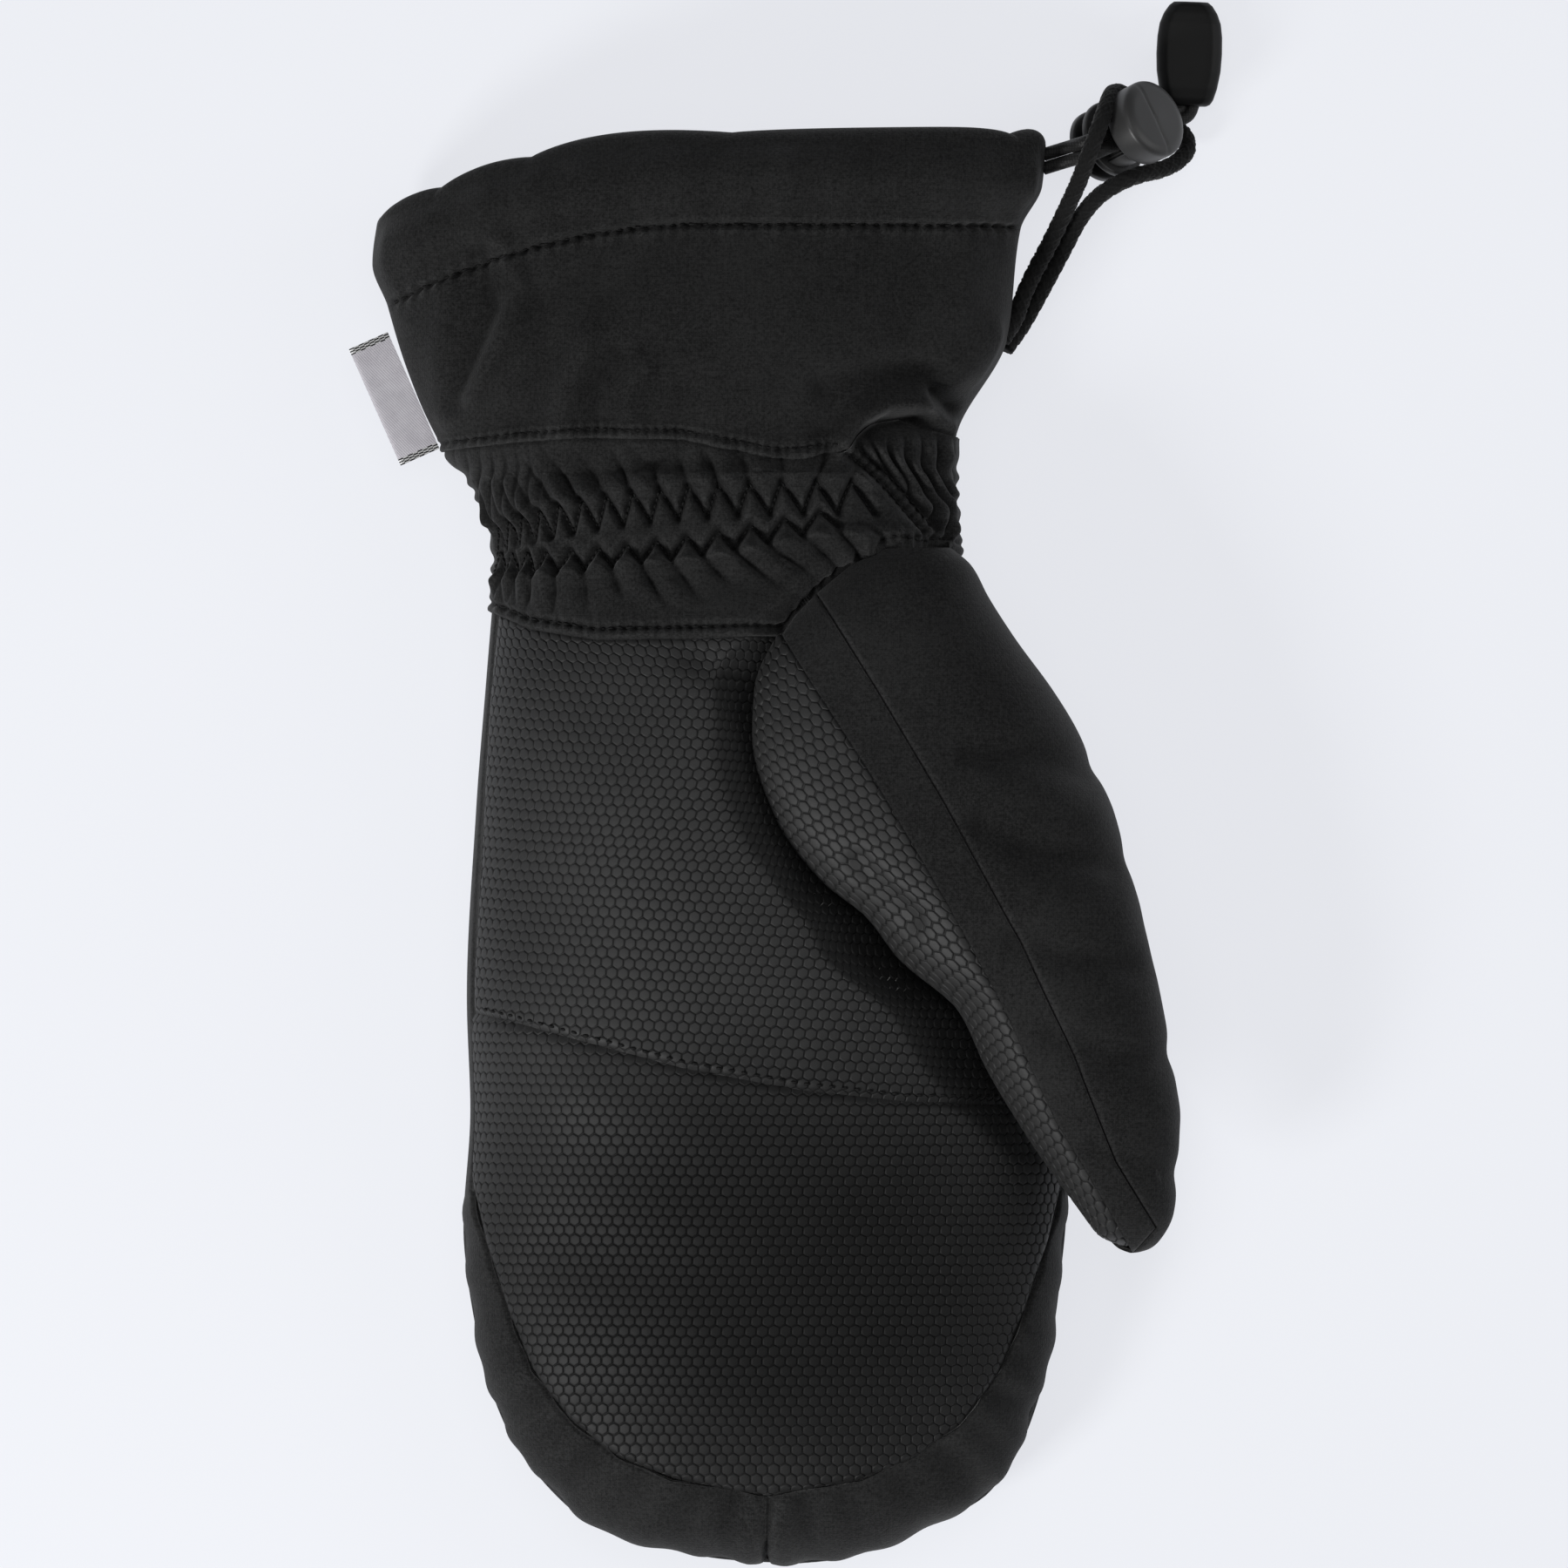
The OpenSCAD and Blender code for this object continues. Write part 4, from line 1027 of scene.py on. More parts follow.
def evenly(points, step):
    """The same line with a point at every step of its length."""
    length = run_of(points)
    at = np.linspace(0, length[-1], max(4, int(length[-1] / step)))
    return np.stack([np.interp(at, length, points[:, k]) for k in range(3)], -1)


def tube_frames(path):
    """Two directions across a line at each of its points, without twist."""
    tangent = np.gradient(path, axis=0)
    tangent /= np.linalg.norm(tangent, axis=-1, keepdims=True)
    side = np.cross(tangent[0], [0, 0, 1.0])
    sides = []
    for t in tangent:
        side = side - t * np.dot(side, t)
        side = side / np.linalg.norm(side)
        sides.append(side)
    sides = np.array(sides)
    return sides, np.cross(tangent, sides)


def tube(name, path, radius, around, material, texture=None):
    """Tube along a line; texture gives the share of the radius at a length and an angle."""
    length = run_of(path)
    across, up = tube_frames(path)
    a = np.linspace(0, 2 * np.pi, around + 1)[:-1]
    share = np.ones((len(path), around)) if texture is None else texture(length[:, None], a[None, :])
    ring = across[:, None] * np.cos(a)[None, :, None] + up[:, None] * np.sin(a)[None, :, None]
    points = path[:, None] + ring * (radius * share)[..., None]
    return make_object(name, points, tube_faces(len(path), around), material)


def cloth_top(y, x, relief):
    """Point and normal of the palm side of the cloth at a station and an X."""
    y, x = np.asarray(y, float), np.asarray(x, float)
    base, normal = surface(hand_form, y, hand_angle(y, x))
    height = relief(base[..., 0], base[..., 1], y)
    return base + normal * height[..., None], normal


# One stitch, as places along it and shares of its radius, with so many points round it.
STITCH_PROFILE = [(-0.5, 0.25), (-0.36, 0.85), (0, 1.0), (0.36, 0.85), (0.5, 0.25)]
STITCH_AROUND = 6


def stitches(name, lines, material, pitch, length, radius, sink=0.0):
    """Rows of single stitches; a line is (points, normals) on the cloth."""
    points_all, faces = [], []
    for points, normals in lines:
        run = run_of(points)
        for k, at in enumerate(np.arange(pitch / 2, run[-1] - pitch / 3, pitch)):
            middle = np.array([np.interp(at, run, points[:, c]) for c in range(3)])
            ahead = np.array([np.interp(at + 0.3 * pitch, run, points[:, c]) for c in range(3)])
            normal = np.array([np.interp(at, run, normals[:, c]) for c in range(3)])
            tangent = ahead - middle
            tangent = tangent / max(np.linalg.norm(tangent), 1e-6)
            side = np.cross(normal, tangent)
            tilt = 0.12 * math.sin(2.7 * k)
            tangent = tangent + side * tilt
            start = len(points_all)
            for share, fat in STITCH_PROFILE:
                lift = radius * (0.55 - 1.3 * abs(share)) - sink
                centre = middle + tangent * length * share + normal * lift
                for a in range(STITCH_AROUND):
                    t = 2 * math.pi * a / STITCH_AROUND
                    ring = side * math.cos(t) + normal * math.sin(t)
                    points_all.append(centre + ring * radius * fat)
            faces += grid_faces(len(STITCH_PROFILE), STITCH_AROUND, start, False, True)
    obj = make_object(name, np.array(points_all), faces, material)
    return finish_piece(obj)


def stitched_rows(thread):
    """All the visible rows of thread; each has its pitch, stitch length and thread radius."""
    x = np.linspace(-60.5, 43.5, 300)
    wrist = [cloth_top(along(WRIST_SEAM_Y, x) + 1.9, x, wrist_over_palm)]
    stitches("stitches_wrist_seam", wrist, thread, 2.5, 1.8, 0.32)
    x = np.linspace(-71, 17.5, 260)
    cuff = [cloth_top(along(GAUNTLET_SEAM_Y, x) + 1.7, x, gauntlet_over)]
    stitches("stitches_cuff_seam", cuff, thread, 2.3, 1.6, 0.32)
    x = np.linspace(-85.4, 58.8, 400)
    hem = [cloth_top(np.full(x.shape, HEM_Y + 0.1), x, cuff_relief)]
    stitches("stitches_hem", hem, thread, 3.1, 2.2, 0.42, -0.05)
    zigzags = []
    for row in (UPPER_ZIGZAG, LOWER_ZIGZAG):
        for (x0, y0), (x1, y1) in zip(row[:-1], row[1:]):
            t = np.linspace(0.02, 0.98, 24)
            zigzags.append(cloth_top(y0 + (y1 - y0) * t, x0 + (x1 - x0) * t, wrist_over_palm))
    stitches("stitches_zigzag", zigzags, thread, 1.45, 1.2, 0.34)
    doubles = []
    for row in CORNER_STITCH:
        line = smooth_path([(a, b, 0) for a, b in row], 20)
        doubles.append(cloth_top(line[:, 1], line[:, 0], wrist_over_palm))
    stitches("stitches_corner", doubles, thread, 2.0, 1.5, 0.34)
    x = np.linspace(-64, 60, 300)
    y = along(CROSS_SEAM_Y, x) + 1.7
    base, normal = surface(hand_form, y, hand_angle(y, x))
    base = base + normal * (palm_relief(base[:, 0], base[:, 1]) - 0.05)[:, None]
    stitches("stitches_palm_seam", [(base, normal)], thread, 2.9, 1.5, 0.34)


# ---- materials ----


class Nodes:
    """Short way to build one material's nodes."""

    def __init__(self, name, roughness, specular=0.3, sheen=0.0):
        self.material = bpy.data.materials.new(name)
        self.material.use_nodes = True
        self.tree = self.material.node_tree
        self.shader = self.tree.nodes["Principled BSDF"]
        self.shader.inputs["Roughness"].default_value = roughness
        self.shader.inputs["Specular IOR Level"].default_value = specular
        self.shader.inputs["Sheen Weight"].default_value = sheen
        self.shader.inputs["Sheen Roughness"].default_value = 0.5
        self.coords = self.tree.nodes.new("ShaderNodeTexCoord").outputs["Object"]

    def link(self, output, shader_input):
        self.tree.links.new(output, self.shader.inputs[shader_input])

    def add(self, kind, inputs, **settings):
        """A new node; each of its inputs takes a value or another node's output."""
        node = self.tree.nodes.new(kind)
        for name, value in settings.items():
            setattr(node, name, value)
        for name, value in inputs.items():
            if isinstance(value, bpy.types.NodeSocket):
                self.tree.links.new(value, node.inputs[name])
            else:
                node.inputs[name].default_value = value
        return node

    def noise(self, scale, detail=3.0, rough=0.6, stretch=None):
        place = self.coords
        if stretch is not None:
            mapping = self.add("ShaderNodeMapping", {"Scale": stretch, "Vector": place})
            place = mapping.outputs["Vector"]
        inputs = {"Scale": scale, "Detail": detail, "Roughness": rough, "Vector": place}
        return self.add("ShaderNodeTexNoise", inputs).outputs["Fac"]

    def wave(self, scale, direction, distortion=0.6):
        inputs = {"Scale": scale, "Distortion": distortion, "Detail": 2.0, "Detail Scale": 1.5,
                  "Vector": self.coords}
        node = self.add("ShaderNodeTexWave", inputs, wave_type="BANDS", bands_direction=direction)
        return node.outputs["Fac"]

    def math(self, kind, a, b):
        return self.add("ShaderNodeMath", {0: a, 1: b}, operation=kind).outputs[0]

    def mix(self, *parts):
        """Sum of several outputs; each part is an output and its share."""
        total = None
        for value, share in parts:
            term = self.math("MULTIPLY", value, share)
            total = term if total is None else self.math("ADD", total, term)
        return total

    def vector_math(self, kind, inputs, output="Vector"):
        return self.add("ShaderNodeVectorMath", inputs, operation=kind).outputs[output]

    def map_range(self, value, ends, **settings):
        """Maps a value to a new range; ends has the node's own names for the two ranges."""
        node = self.add("ShaderNodeMapRange", {"Value": value, **ends}, **settings)
        return node.outputs["Result"]

    def ramp_colours(self, value, stops):
        node = self.add("ShaderNodeValToRGB", {"Fac": value})
        for element, (at, colour) in zip(node.color_ramp.elements, stops):
            element.position = at
            element.color = (*colour, 1.0)
        self.link(node.outputs["Color"], "Base Color")
        return node.outputs["Color"]

    def roughness(self, value, low, high):
        self.link(self.map_range(value, {"To Min": low, "To Max": high}), "Roughness")

    def bump(self, value, strength, distance, under=None):
        inputs = {"Strength": strength, "Distance": distance, "Height": value}
        if under is not None:
            inputs["Normal"] = under
        normal = self.add("ShaderNodeBump", inputs).outputs["Normal"]
        self.link(normal, "Normal")
        return normal

    def painted_shade_patch(self, colour, middle, reach, share):
        """Painted shade: multiplies the colour and the gloss by share in the middle of an oval, with a
        soft edge.
        """
        near = self.vector_math("SUBTRACT", {0: self.coords, 1: middle})
        scaled = self.vector_math("DIVIDE", {0: near, 1: reach})
        distance = self.vector_math("LENGTH", {0: scaled}, "Value")
        level = self.map_range(distance, {"From Min": 0.5, "From Max": 1.7, "To Min": share},
                               interpolation_type="SMOOTHSTEP")
        gloss = self.shader.inputs["Specular IOR Level"].default_value
        self.link(self.math("MULTIPLY", level, gloss), "Specular IOR Level")
        return self.vector_math("SCALE", {0: colour, "Scale": level})

    def paint_crease_shade_and_ridge_light(self, colour):
        """Paints shade into the bottoms of sharp creases and paints light onto ridges."""
        shape = self.add("ShaderNodeNewGeometry", {}).outputs["Pointiness"]
        ends = {"From Min": 0.44, "From Max": 0.56, "To Min": 0.25, "To Max": 1.5}
        level = self.map_range(shape, ends)
        self.link(self.vector_math("SCALE", {0: colour, "Scale": level}), "Base Color")


def grey(level):
    return (level, level, level)


def weave_material(name, dark, light):
    """Fine plain weave with slightly uneven yarns and a soft sheen."""
    m = Nodes(name, 0.78, 0.1, 0.08)
    threads = m.math("MULTIPLY", m.wave(640, "X"), m.wave(640, "Y"))
    uneven = m.noise(2600, 2.0, 0.7)
    slubs = m.noise(1, 4.0, 0.65, (260, 1500, 260))
    slubs_across = m.noise(1, 4.0, 0.65, (1500, 260, 260))
    patches = m.noise(28, 3.0, 0.6)
    speckle = m.noise(1500, 2.0, 0.8)
    value = m.mix((patches, 0.2), (threads, 0.05), (speckle, 0.5), (slubs, 0.14), (slubs_across, 0.12))
    # painted shade in the cloth's creases and painted light on its ridges, from the mesh's pointiness
    m.paint_crease_shade_and_ridge_light(m.ramp_colours(value, [(0.39, dark), (0.58, light)]))
    m.roughness(uneven, 0.68, 0.88)
    soft = m.bump(speckle, 0.6, 0.0003)
    m.bump(threads, 0.2, 0.0001, soft)
    return m.material


def leather_material():
    """Matt coated synthetic leather with a fine grain, painted shade in the grooves between the
    hexagons and a painted shade patch over the fingers.
    """
    m = Nodes("palm_leather", 0.5, 0.3, 0.03)
    m.shader.inputs["Coat Weight"].default_value = 0.04
    m.shader.inputs["Coat Roughness"].default_value = 0.45
    grain = m.noise(5200, 3.0, 0.6)
    patches = m.noise(45, 4.0, 0.6)
    value = m.mix((patches, 0.75), (grain, 0.25))
    colour = m.ramp_colours(value, [(0.3, grey(0.014)), (0.7, grey(0.021))])
    # painted shade: the leather over the middle of the fingers is darkened to 0.4 of its colour
    colour = m.painted_shade_patch(colour, (0.0, -0.1, 0.0), (0.055, 0.042, 10.0), 0.4)
    # painted shade: the deeper a point of the embossing lies, the nearer to black its colour is mixed
    groove = m.add("ShaderNodeAttribute", {}, attribute_name="groove").outputs["Fac"]
    inputs = {"Factor": groove, "A": colour, "B": (*grey(0.0015), 1)}
    m.link(m.add("ShaderNodeMix", inputs, data_type="RGBA").outputs["Result"], "Base Color")
    m.roughness(patches, 0.5, 0.64)
    m.bump(grain, 0.5, 0.0001)
    return m.material


def thread_material():
    m = Nodes("black_thread", 0.7, 0.25)
    twist = m.wave(900, "DIAGONAL", 1.0)
    value = m.math("MULTIPLY", twist, m.noise(900))
    m.ramp_colours(value, [(0.0, grey(0.001)), (1.0, grey(0.006))])
    m.bump(twist, 0.5, 0.0001)
    return m.material


def braid_material():
    m = Nodes("braid_yarn", 0.8, 0.15, 0.1)
    fibres = m.noise(1, 3.0, 0.7, (3000, 900, 3000))
    m.ramp_colours(fibres, [(0.3, grey(0.002)), (0.75, grey(0.012))])
    m.roughness(fibres, 0.7, 0.9)
    m.bump(fibres, 0.5, 0.00012)
    return m.material


def elastic_material():
    m = Nodes("elastic_cord", 0.55, 0.3, 0.05)
    weave = m.math("MULTIPLY", m.wave(520, "X", 1.5), m.wave(520, "Y", 1.5))
    value = m.mix((weave, 0.5), (m.noise(300), 0.5))
    m.ramp_colours(value, [(0.2, grey(0.006)), (0.8, grey(0.018))])
    m.roughness(m.noise(400), 0.45, 0.65)
    m.bump(weave, 0.5, 0.00012)
    return m.material


def plastic_material(name, dark, light, roughness, specular):
    """Moulded plastic with a fine spark-eroded finish."""
    m = Nodes(name, roughness, specular)
    grain = m.noise(3800, 2.0, 0.5)
    patches = m.noise(70, 3.0, 0.6)
    m.ramp_colours(patches, [(0.3, dark), (0.7, light)])
    m.roughness(m.mix((grain, 0.4), (patches, 0.6)), roughness - 0.08, roughness + 0.1)
    m.bump(grain, 0.3, 0.00004)
    return m.material


def lining_material():
    """Brushed tricot: short soft pile over fine ribs."""
    m = Nodes("brushed_lining", 0.9, 0.1, 0.35)
    ribs = m.wave(300, "X", 1.2)
    pile = m.noise(1700, 4.0, 0.75)
    m.ramp_colours(m.mix((pile, 0.7), (ribs, 0.3)), [(0.25, grey(0.014)), (0.8, grey(0.05))])
    m.roughness(pile, 0.8, 0.98)
    soft = m.bump(ribs, 0.4, 0.0003)
    m.bump(pile, 0.6, 0.0003, soft)
    return m.material


def padding_material():
    m = Nodes("fibre_padding", 0.95, 0.1, 0.3)
    fibres = m.noise(800, 5.0, 0.75)
    m.ramp_colours(fibres, [(0.25, (0.5, 0.5, 0.48)), (0.8, (0.82, 0.82, 0.8))])
    m.roughness(fibres, 0.85, 1.0)
    m.bump(fibres, 0.7, 0.0006)
    return m.material


def tape_material():
    m = Nodes("elastic_tape", 0.8, 0.2, 0.1)
    ribs = m.wave(420, "Y", 0.3)
    m.ramp_colours(m.math("MULTIPLY", ribs, m.noise(600)), [(0.0, grey(0.006)), (0.8, grey(0.022))])
    m.bump(ribs, 0.6, 0.0002)
    return m.material


def steel_material():
    m = Nodes("spring_steel", 0.3, 0.5)
    m.shader.inputs["Metallic"].default_value = 1.0
    scratches = m.noise(1, 3.0, 0.6, (2000, 300, 2000))
    m.ramp_colours(scratches, [(0.2, grey(0.35)), (0.8, grey(0.6))])
    m.roughness(scratches, 0.22, 0.42)
    m.bump(scratches, 0.2, 0.00003)
    return m.material


def label_material():
    """Pale damask satin: fine floats across the label."""
    m = Nodes("label_satin", 0.42, 0.4, 0.2)
    floats = m.wave(900, "DIAGONAL", 0.4)
    wear = m.noise(260, 3.0, 0.6)
    value = m.mix((floats, 0.4), (wear, 0.6))
    m.ramp_colours(value, [(0.2, (0.42, 0.40, 0.44)), (0.8, (0.64, 0.62, 0.66))])
    m.roughness(wear, 0.34, 0.55)
    m.bump(floats, 0.4, 0.00008)
    return m.material


def floor_material():
    m = Nodes("pale_floor", 0.9, 0.05)
    m.ramp_colours(m.noise(6, 2.0, 0.5), [(0.3, (0.17, 0.175, 0.18)), (0.7, (0.18, 0.185, 0.19))])
    m.shader.inputs["Emission Color"].default_value = (0.93, 0.945, 1.0, 1.0)
    m.shader.inputs["Emission Strength"].default_value = 0.76
    m.roughness(m.noise(20), 0.85, 0.95)
    return m.material


# ---- camera, light and floor ----


def set_up_camera():
    camera = bpy.data.objects.new("camera", bpy.data.cameras.new("camera"))
    bpy.context.scene.collection.objects.link(camera)
    camera.data.lens = 300
    camera.data.sensor_width = 36
    camera.data.clip_end = 20
    camera.location = (0.005, 0.015, 3.03)
    bpy.context.scene.camera = camera


def area_light(name, place, target, size, power, colour=(1, 1, 1)):
    light = bpy.data.lights.new(name, "AREA")
    light.shape = "RECTANGLE"
    light.size, light.size_y = size
    light.energy = power
    light.color = colour
    obj = bpy.data.objects.new(name, light)
    obj.location = place
    obj.rotation_euler = (Vector(place) - Vector(target)).to_track_quat("Z", "Y").to_euler()
    bpy.context.scene.collection.objects.link(obj)


def set_up_studio():
    world = bpy.data.worlds.new("studio")
    world.use_nodes = True
    background = world.node_tree.nodes["Background"]
    background.inputs["Color"].default_value = (0.95, 0.97, 1.0, 1.0)
    background.inputs["Strength"].default_value = 0.14
    bpy.context.scene.world = world
    bpy.context.scene.view_settings.view_transform = "Standard"
    area_light("key", (-0.75, -0.65, 0.75), (0, 0, 0.02), (0.3, 0.3), 12)
    area_light("right_fill", (0.95, 0.25, 0.55), (0, 0, 0.02), (0.5, 0.8), 2.8)
    area_light("top", (-0.05, 0.3, 1.3), (-0.02, 0.05, 0), (0.9, 0.6), 3.2)
    floor = make_object("floor", [(-3000, -3000, -0.4), (3000, -3000, -0.4), (3000, 3000, -0.4),
                                  (-3000, 3000, -0.4)], [(0, 1, 2, 3)], floor_material(), False)


# ---- cords ----

LOCK_AT = np.array([85.4, 166.0, 16.9])
TILT, HEADING = math.radians(47), math.radians(25)
LOCK_AXIS = np.array([math.sin(TILT) * math.cos(HEADING), math.sin(TILT) * math.sin(HEADING),
                      math.cos(TILT)])
SLOT_AXIS = np.array([math.cos(TILT) * math.cos(HEADING), math.cos(TILT) * math.sin(HEADING),
                      -math.sin(TILT)])
LOCK_ACROSS = np.array([-math.sin(HEADING), math.cos(HEADING), 0.0])
SLOT_MIDDLE = LOCK_AT - 2.5 * LOCK_AXIS


def strand_points(offset):
    """One strand of the doubled elastic, from the hem through the lock into the cord end."""
    return [
        np.array([65.0, 158.6 + offset, 16.0]),
        np.array([70.5, 160.2 + offset, 18.2]),
        SLOT_MIDDLE - 11 * SLOT_AXIS + offset * LOCK_ACROSS + np.array([-1.6, -0.6, -0.6]),
        SLOT_MIDDLE - 7 * SLOT_AXIS + offset * LOCK_ACROSS,
        SLOT_MIDDLE + offset * LOCK_ACROSS,
        SLOT_MIDDLE + 7 * SLOT_AXIS + offset * LOCK_ACROSS,
        SLOT_MIDDLE + 10.5 * SLOT_AXIS + offset * LOCK_ACROSS + np.array([0.6, 0.0, 0.2]),
        np.array([94.6, 169.4 + 0.8 * offset, 6.2]),
        np.array([97.6 - offset * 0.6, 170.6 + 0.5 * offset, 4.9]),
        np.array([98.4 - offset, 173.6, 4.6]),
        np.array([98.6 - offset, 176.4, 4.6]),
    ]


TETHER_ROUTE = [
    (55.4, 117.6, 15.6), (58.4, 122.4, 12.6), (60.4, 128, 11), (63, 133.6, 10.8),
    (66.4, 140, 12.8), (69.8, 147, 16.2), (72.8, 153.6, 21), (75.2, 160, 25.6), (77.6, 166.4, 26.4),
    (79.4, 171.4, 22.8), (81, 174.4, 16.6), (83.8, 174.2, 10), (88, 171, 5), (93.2, 168.6, 2.6),
    (97.4, 165.8, 2.6), (98.4, 162, 4.2), (95.8, 158.8, 7.8), (91.8, 156.8, 12), (87.4, 155.6, 16),
    (82.4, 153.6, 18.4), (77.4, 150.4, 15.6), (73.2, 145.4, 11.6), (69.6, 138.6, 8.6),
    (66, 131.8, 7.2), (62.4, 125.2, 7.4), (59.6, 120.4, 8.4), (56.2, 115.6, 11),
]


def braid_texture(length, angle):
    """Crossing yarns of a round braid."""
    a = np.sin(angle * 4 + length * 1.9) ** 2
    b = np.sin(angle * 4 - length * 1.9) ** 2
    over = np.where(np.sin(angle * 4) * np.cos(length * 1.9) > 0, a, b)
    return 0.82 + 0.16 * over + 0.05 * np.maximum(a, b)


def elastic_texture(length, angle):
    return 0.985 + 0.015 * np.sin(angle * 8 + length * 3.0) * np.sin(angle * 8 - length * 3.0)


def cord_pieces(elastic, braid):
    """The two elastic strands and the braided tether."""
    for name, offset in (("elastic_strand_1", 1.6), ("elastic_strand_2", -1.6)):
        path = evenly(smooth_path(strand_points(offset), 8), 0.6)
        obj = tube(name, path, 1.55, 20, elastic, elastic_texture)
        if offset > 0:
            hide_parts("drawcord")
        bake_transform(obj)
    path = evenly(smooth_path(TETHER_ROUTE, 10), 0.42)
    obj = tube("braided_tether", path, 2.0, 40, braid, braid_texture)
    finish_piece(obj, node="tether")


def hem_elastic(elastic):
    """The part of the drawcord that lies inside the hem."""
    a = np.arange(8, 354, 3.0)
    y = 158 - 3 * np.cos(np.radians(a)) ** 2
    path = hand_form(y, a, 3.2)
    obj = tube("elastic_in_hem", path, 1.5, 12, elastic)
    return finish_piece(obj)


# ---- cord lock, cord end and label ----


def lathe(name, profile, around, material, place, axis, across):
    """Turned shape: profile is (height along the axis, radius)."""
    ring = circle(across, np.cross(axis, across), around)
    points = np.array([place + axis * h + ring * r for h, r in profile])
    return make_object(name, points, tube_faces(len(profile), around), material)


def rounded(profile_corners, radius, steps=5):
    """Profile with each inner corner rounded."""
    out = [profile_corners[0]]
    for before, here, after in zip(profile_corners, profile_corners[1:], profile_corners[2:]):
        a, p, b = (np.array(q, float) for q in (before, here, after))
        r = min(radius, 0.45 * np.linalg.norm(a - p), 0.45 * np.linalg.norm(b - p))
        start = p + (a - p) / np.linalg.norm(a - p) * r
        end = p + (b - p) / np.linalg.norm(b - p) * r
        for t in np.linspace(0, 1, steps):
            out.append(tuple((1 - t) ** 2 * start + 2 * t * (1 - t) * p + t**2 * end))
    out.append(profile_corners[-1])
    return out


def lock_cap(material):
    """The lock's cap: a drum with a softly domed top and a parting line across it."""
    around = 96
    profile = rounded(CAP_PROFILE, 0.9)
    fine = []
    for (h0, r0), (h1, r1) in zip(profile[:-1], profile[1:]):
        count = 14 if abs(r1 - r0) > 3 else 2
        for t in np.arange(count) / count:
            fine.append((h0 + (h1 - h0) * t, r0 + (r1 - r0) * t))
    fine.append(profile[-1])
    ring = circle(LOCK_ACROSS, np.cross(LOCK_AXIS, LOCK_ACROSS), around)
    turn = np.linspace(0, 2 * np.pi, around + 1)[:-1]
    points = []
    for h, r in fine:
        line = np.exp(-((r * np.sin(turn) - 0.9) / 0.28) ** 2) * (h > 2)
        points.append(LOCK_AT + LOCK_AXIS * h - LOCK_AXIS * 0.22 * line[:, None] + ring * r)
    return make_object("lock_cap", np.array(points), tube_faces(len(fine), around), material)


# Turned parts of the cord lock: height along its axis and radius.
CAP_PROFILE = [(0.9, 0.5), (0.9, 9.2), (7.4, 9.3), (8.3, 7.6), (8.6, 0.4)]
FLANGE_PROFILE = [(-7.6, 6.4), (-7.6, 9.1), (-6.0, 9.1), (-6.0, 6.4)]
PLUNGER_PROFILE = [(-12.7, 0.4), (-12.7, 8.4), (-10.6, 8.5), (-10.4, 5.8), (-2.4, 5.7), (-2.4, 0.4)]
WALL_RADII = (7.2, 5.9)         # outside and inside of the lock's two side walls
WALL_HEIGHTS = (-6.8, 1.2)


def lock_wall(sign, radius):
    """One face of a side wall of the cord lock, as a grid of points."""
    spread = np.radians(np.linspace(-52, 52, 26))[:, None]
    rows = []
    for h in np.linspace(*WALL_HEIGHTS, 14):
        arc = sign * LOCK_ACROSS * radius * np.cos(spread)
        rows.append(LOCK_AT + LOCK_AXIS * h + arc + SLOT_AXIS * radius * np.sin(spread))
    return np.array(rows)


def lock_pieces(shell_plastic, plunger_plastic):
    """The cord lock: cap, two side walls and flange of the housing, and the plunger."""
    finish_piece(lock_cap(shell_plastic), node="toggle_housing")
    # the side walls hold the cap and the flange apart, with the cord slot between them
    for name, sign in (("lock_wall_1", 1), ("lock_wall_2", -1)):
        outer, inner = (lock_wall(sign, radius) for radius in WALL_RADII)
        finish_piece(closed_sheet(name, outer, inner, shell_plastic))
    frame_of_lock = (LOCK_AT, LOCK_AXIS, LOCK_ACROSS)
    flange = lathe("lock_flange", rounded(FLANGE_PROFILE, 0.6), 72, shell_plastic, *frame_of_lock)
    finish_piece(flange)
    plunger = lathe("lock_plunger", rounded(PLUNGER_PROFILE, 0.7), 72, plunger_plastic, *frame_of_lock)
    finish_piece(plunger, "plunger", "toggle_plunger")


def cord_end_piece(rubber):
    """Moulded cord end: a soft-edged block, narrower at both ends, with a raised face."""
    turn = math.radians(-2)
    along_dir = np.array([-math.sin(turn), math.cos(turn), 0.0])
    across_dir = np.array([math.cos(turn), math.sin(turn), 0.0])
    start = np.array([98.4, 172.2, 4.6])
    stations = [(0.0, 4.4, 2.4), (0.4, 5.2, 3.0), (1.4, 5.9, 3.4), (4, 6.7, 3.7), (8, 7.4, 3.8),
                (12, 7.6, 3.8), (16, 7.5, 3.8), (19, 7.1, 3.7), (21.4, 6.2, 3.4), (23.2, 5.0, 2.9),
                (24.0, 4.0, 2.2)]
    rows = np.array(stations)
    at = np.linspace(0, 24, 60)
    wide = np.interp(at, rows[:, 0], rows[:, 1])
    thick = np.interp(at, rows[:, 0], rows[:, 2])
    a = np.linspace(0, 2 * np.pi, 73)[:-1]
    points = []
    for v, w, t in zip(at, wide, thick):
        c, s = np.cos(a), np.sin(a)
        x = w * np.sign(c) * np.abs(c) ** 0.42
        z = t * np.sign(s) * np.abs(s) ** 0.5
        face = np.clip((np.abs(x) - (w - 2.2)) / 2.2, 0, 1)
        z = z * (1 - 0.28 * face)
        points.append(start + along_dir * (v - 0.2) + across_dir * x[:, None]
                      + np.array([0, 0, 1.0]) * z[:, None])
    obj = make_object("cord_end_block", np.array(points), tube_faces(len(at), len(a)), rubber)
    return finish_piece(obj, "pull_end", "cord_end")


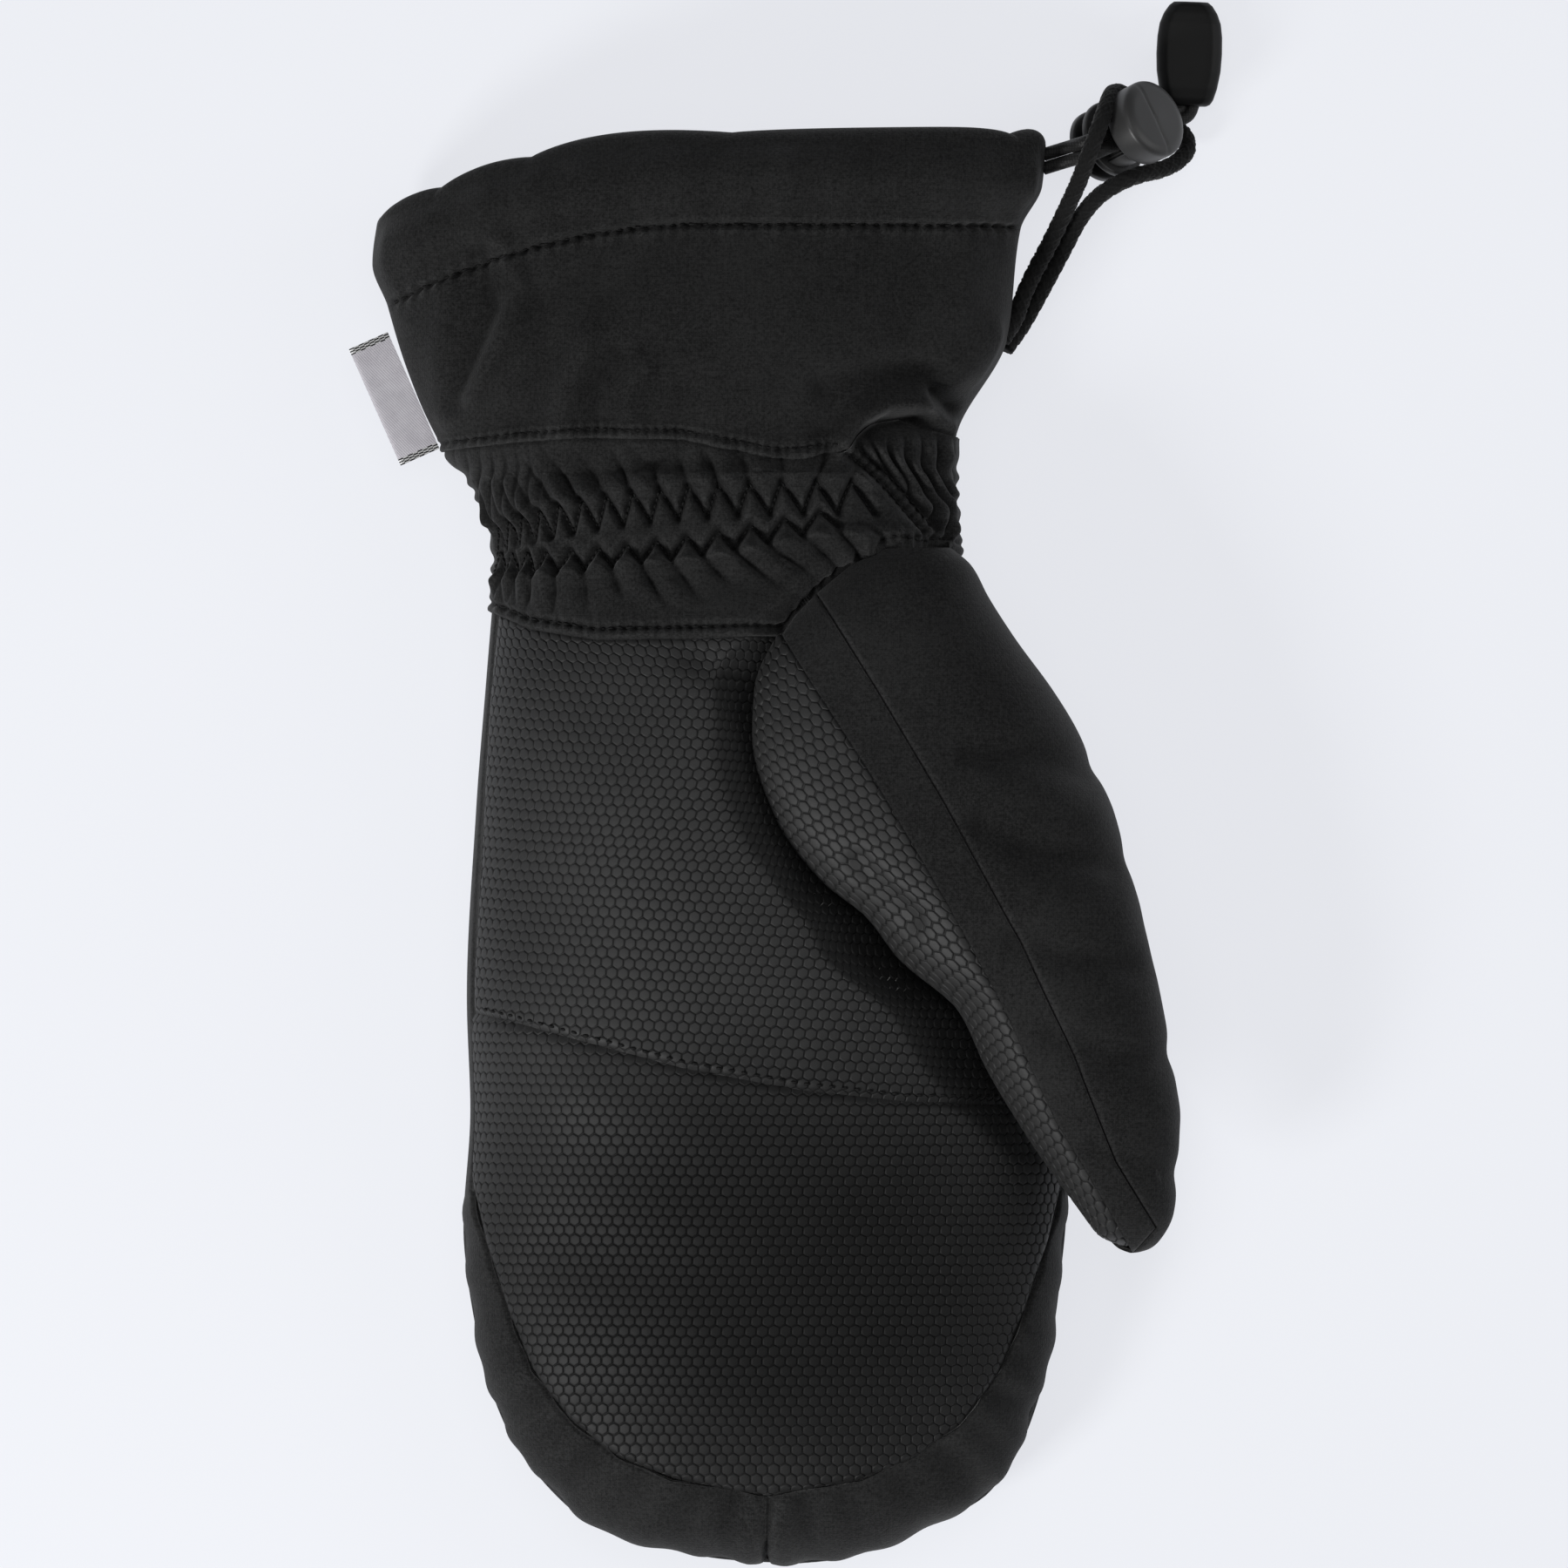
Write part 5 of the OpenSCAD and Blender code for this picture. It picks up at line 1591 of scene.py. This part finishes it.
def label_piece(satin, dark_yarn, pale_yarn):
    """Folded side label with a checked weave at both ends and a blank middle."""
    hinge = np.array([-86.3, 119.4, 14.0])
    turn = math.radians(-66)
    along_dir = np.array([math.cos(turn), math.sin(turn), 0.0])
    out_dir = np.array([math.sin(turn), -math.cos(turn), 0.0])
    up = np.array([0, 0, 1.0])
    length, width = 29.4, 9.8
    rows, cols = 98, 34
    cells = np.linspace(0, length, rows)
    reach = np.concatenate([np.linspace(0, width, cols // 2), np.linspace(width, 0, cols // 2)])
    side = np.concatenate([np.full(cols // 2, 1.0), np.full(cols // 2, -1.0)])
    points = np.zeros((rows, cols, 3))
    for i, v in enumerate(cells):
        sag = 0.35 * math.sin(v / length * math.pi) + 0.15 * math.sin(v / 4)
        for j in range(cols):
            r = reach[j]
            fold = 0.34 * math.sqrt(max(0.0, 1 - (r / width) ** 6)) + 0.03
            z = side[j] * fold + sag * (r / width) ** 2
            points[i, j] = hinge + along_dir * v + out_dir * (r + 0.2) + up * z
    obj = make_object("side_label_tag", points, grid_faces(rows, cols), satin)
    obj.data.materials.append(dark_yarn)
    obj.data.materials.append(pale_yarn)
    for polygon in obj.data.polygons:
        row, col = polygon.index // (cols - 1), polygon.index % (cols - 1)
        if row < 5 or row >= rows - 6:
            odd = (row + col // 2) % 2
            polygon.material_index = 1 if odd else 2
    finish_piece(obj, "label", "side_label")


def repaint_cad(materials):
    """Better materials for the CAD pieces that stay."""
    for node, material in materials.items():
        obj = bpy.data.objects.get(node)
        if obj is not None:
            for entry in obj.material_slots:
                entry.material = material


# ---- the scene ----

set_up_camera()
set_up_studio()

shell = weave_material("shell_weave", grey(0.005), grey(0.023))
leather = leather_material()
thread = thread_material()
elastic = elastic_material()
lining = lining_material()
padding = padding_material()
rubber = plastic_material("cord_end_rubber", grey(0.002), grey(0.004), 0.5, 0.22)
lock_plastic = plastic_material("lock_shell", grey(0.028), grey(0.036), 0.42, 0.4)
plunger_plastic = plastic_material("lock_plunger", grey(0.006), grey(0.009), 0.35, 0.4)

end_piece = cord_end_piece(rubber)
cord_pieces(elastic, braid_material())
hem_elastic(elastic)
lock_pieces(lock_plastic, plunger_plastic)
label_piece(label_material(), weave_material("label_dark_yarn", grey(0.01), grey(0.02)),
            weave_material("label_pale_yarn", grey(0.5), grey(0.7)))

palm_upper_leather(leather)
palm_finger_leather(leather)
thumb_leather_piece(leather)
back_of_hand(shell)
tip_bands(shell)
wrist_and_cuff(shell)
hem_piece(shell)
thumb_cloth(shell)
thumb_allowance(shell)
hand_layer("palm_padding", "padding_palm", (0, 180), 4.2, padding)
hand_layer("palm_lining", "lining_palm", (0, 180), 7.4, lining)
hand_layer("back_padding", "padding_back", (180, 360), 2.2, padding)
hand_layer("back_lining", "lining_back", (180, 360), 7.0, lining)
inner_layer("cuff_foam", "padding_cuff", (86.0, 141.0), 2.0, padding, 1.0)
inner_layer("cuff_lining", "lining_cuff", (50.0, 160.0), 4.0, lining, 0.5)
thumb_layer("thumb_padding", "padding_thumb", 3.4, padding)
thumb_layer("thumb_lining", "lining_thumb", 7.0, lining)
tape = tape_material()
tape_piece("upper_tape", "elastic_tape_upper", 77, 80, tape)
tape_piece("lower_tape", "elastic_tape_lower", 65.5, 71.5, tape)
stitched_rows(thread)
repaint_cad({"toggle_spring": steel_material()})
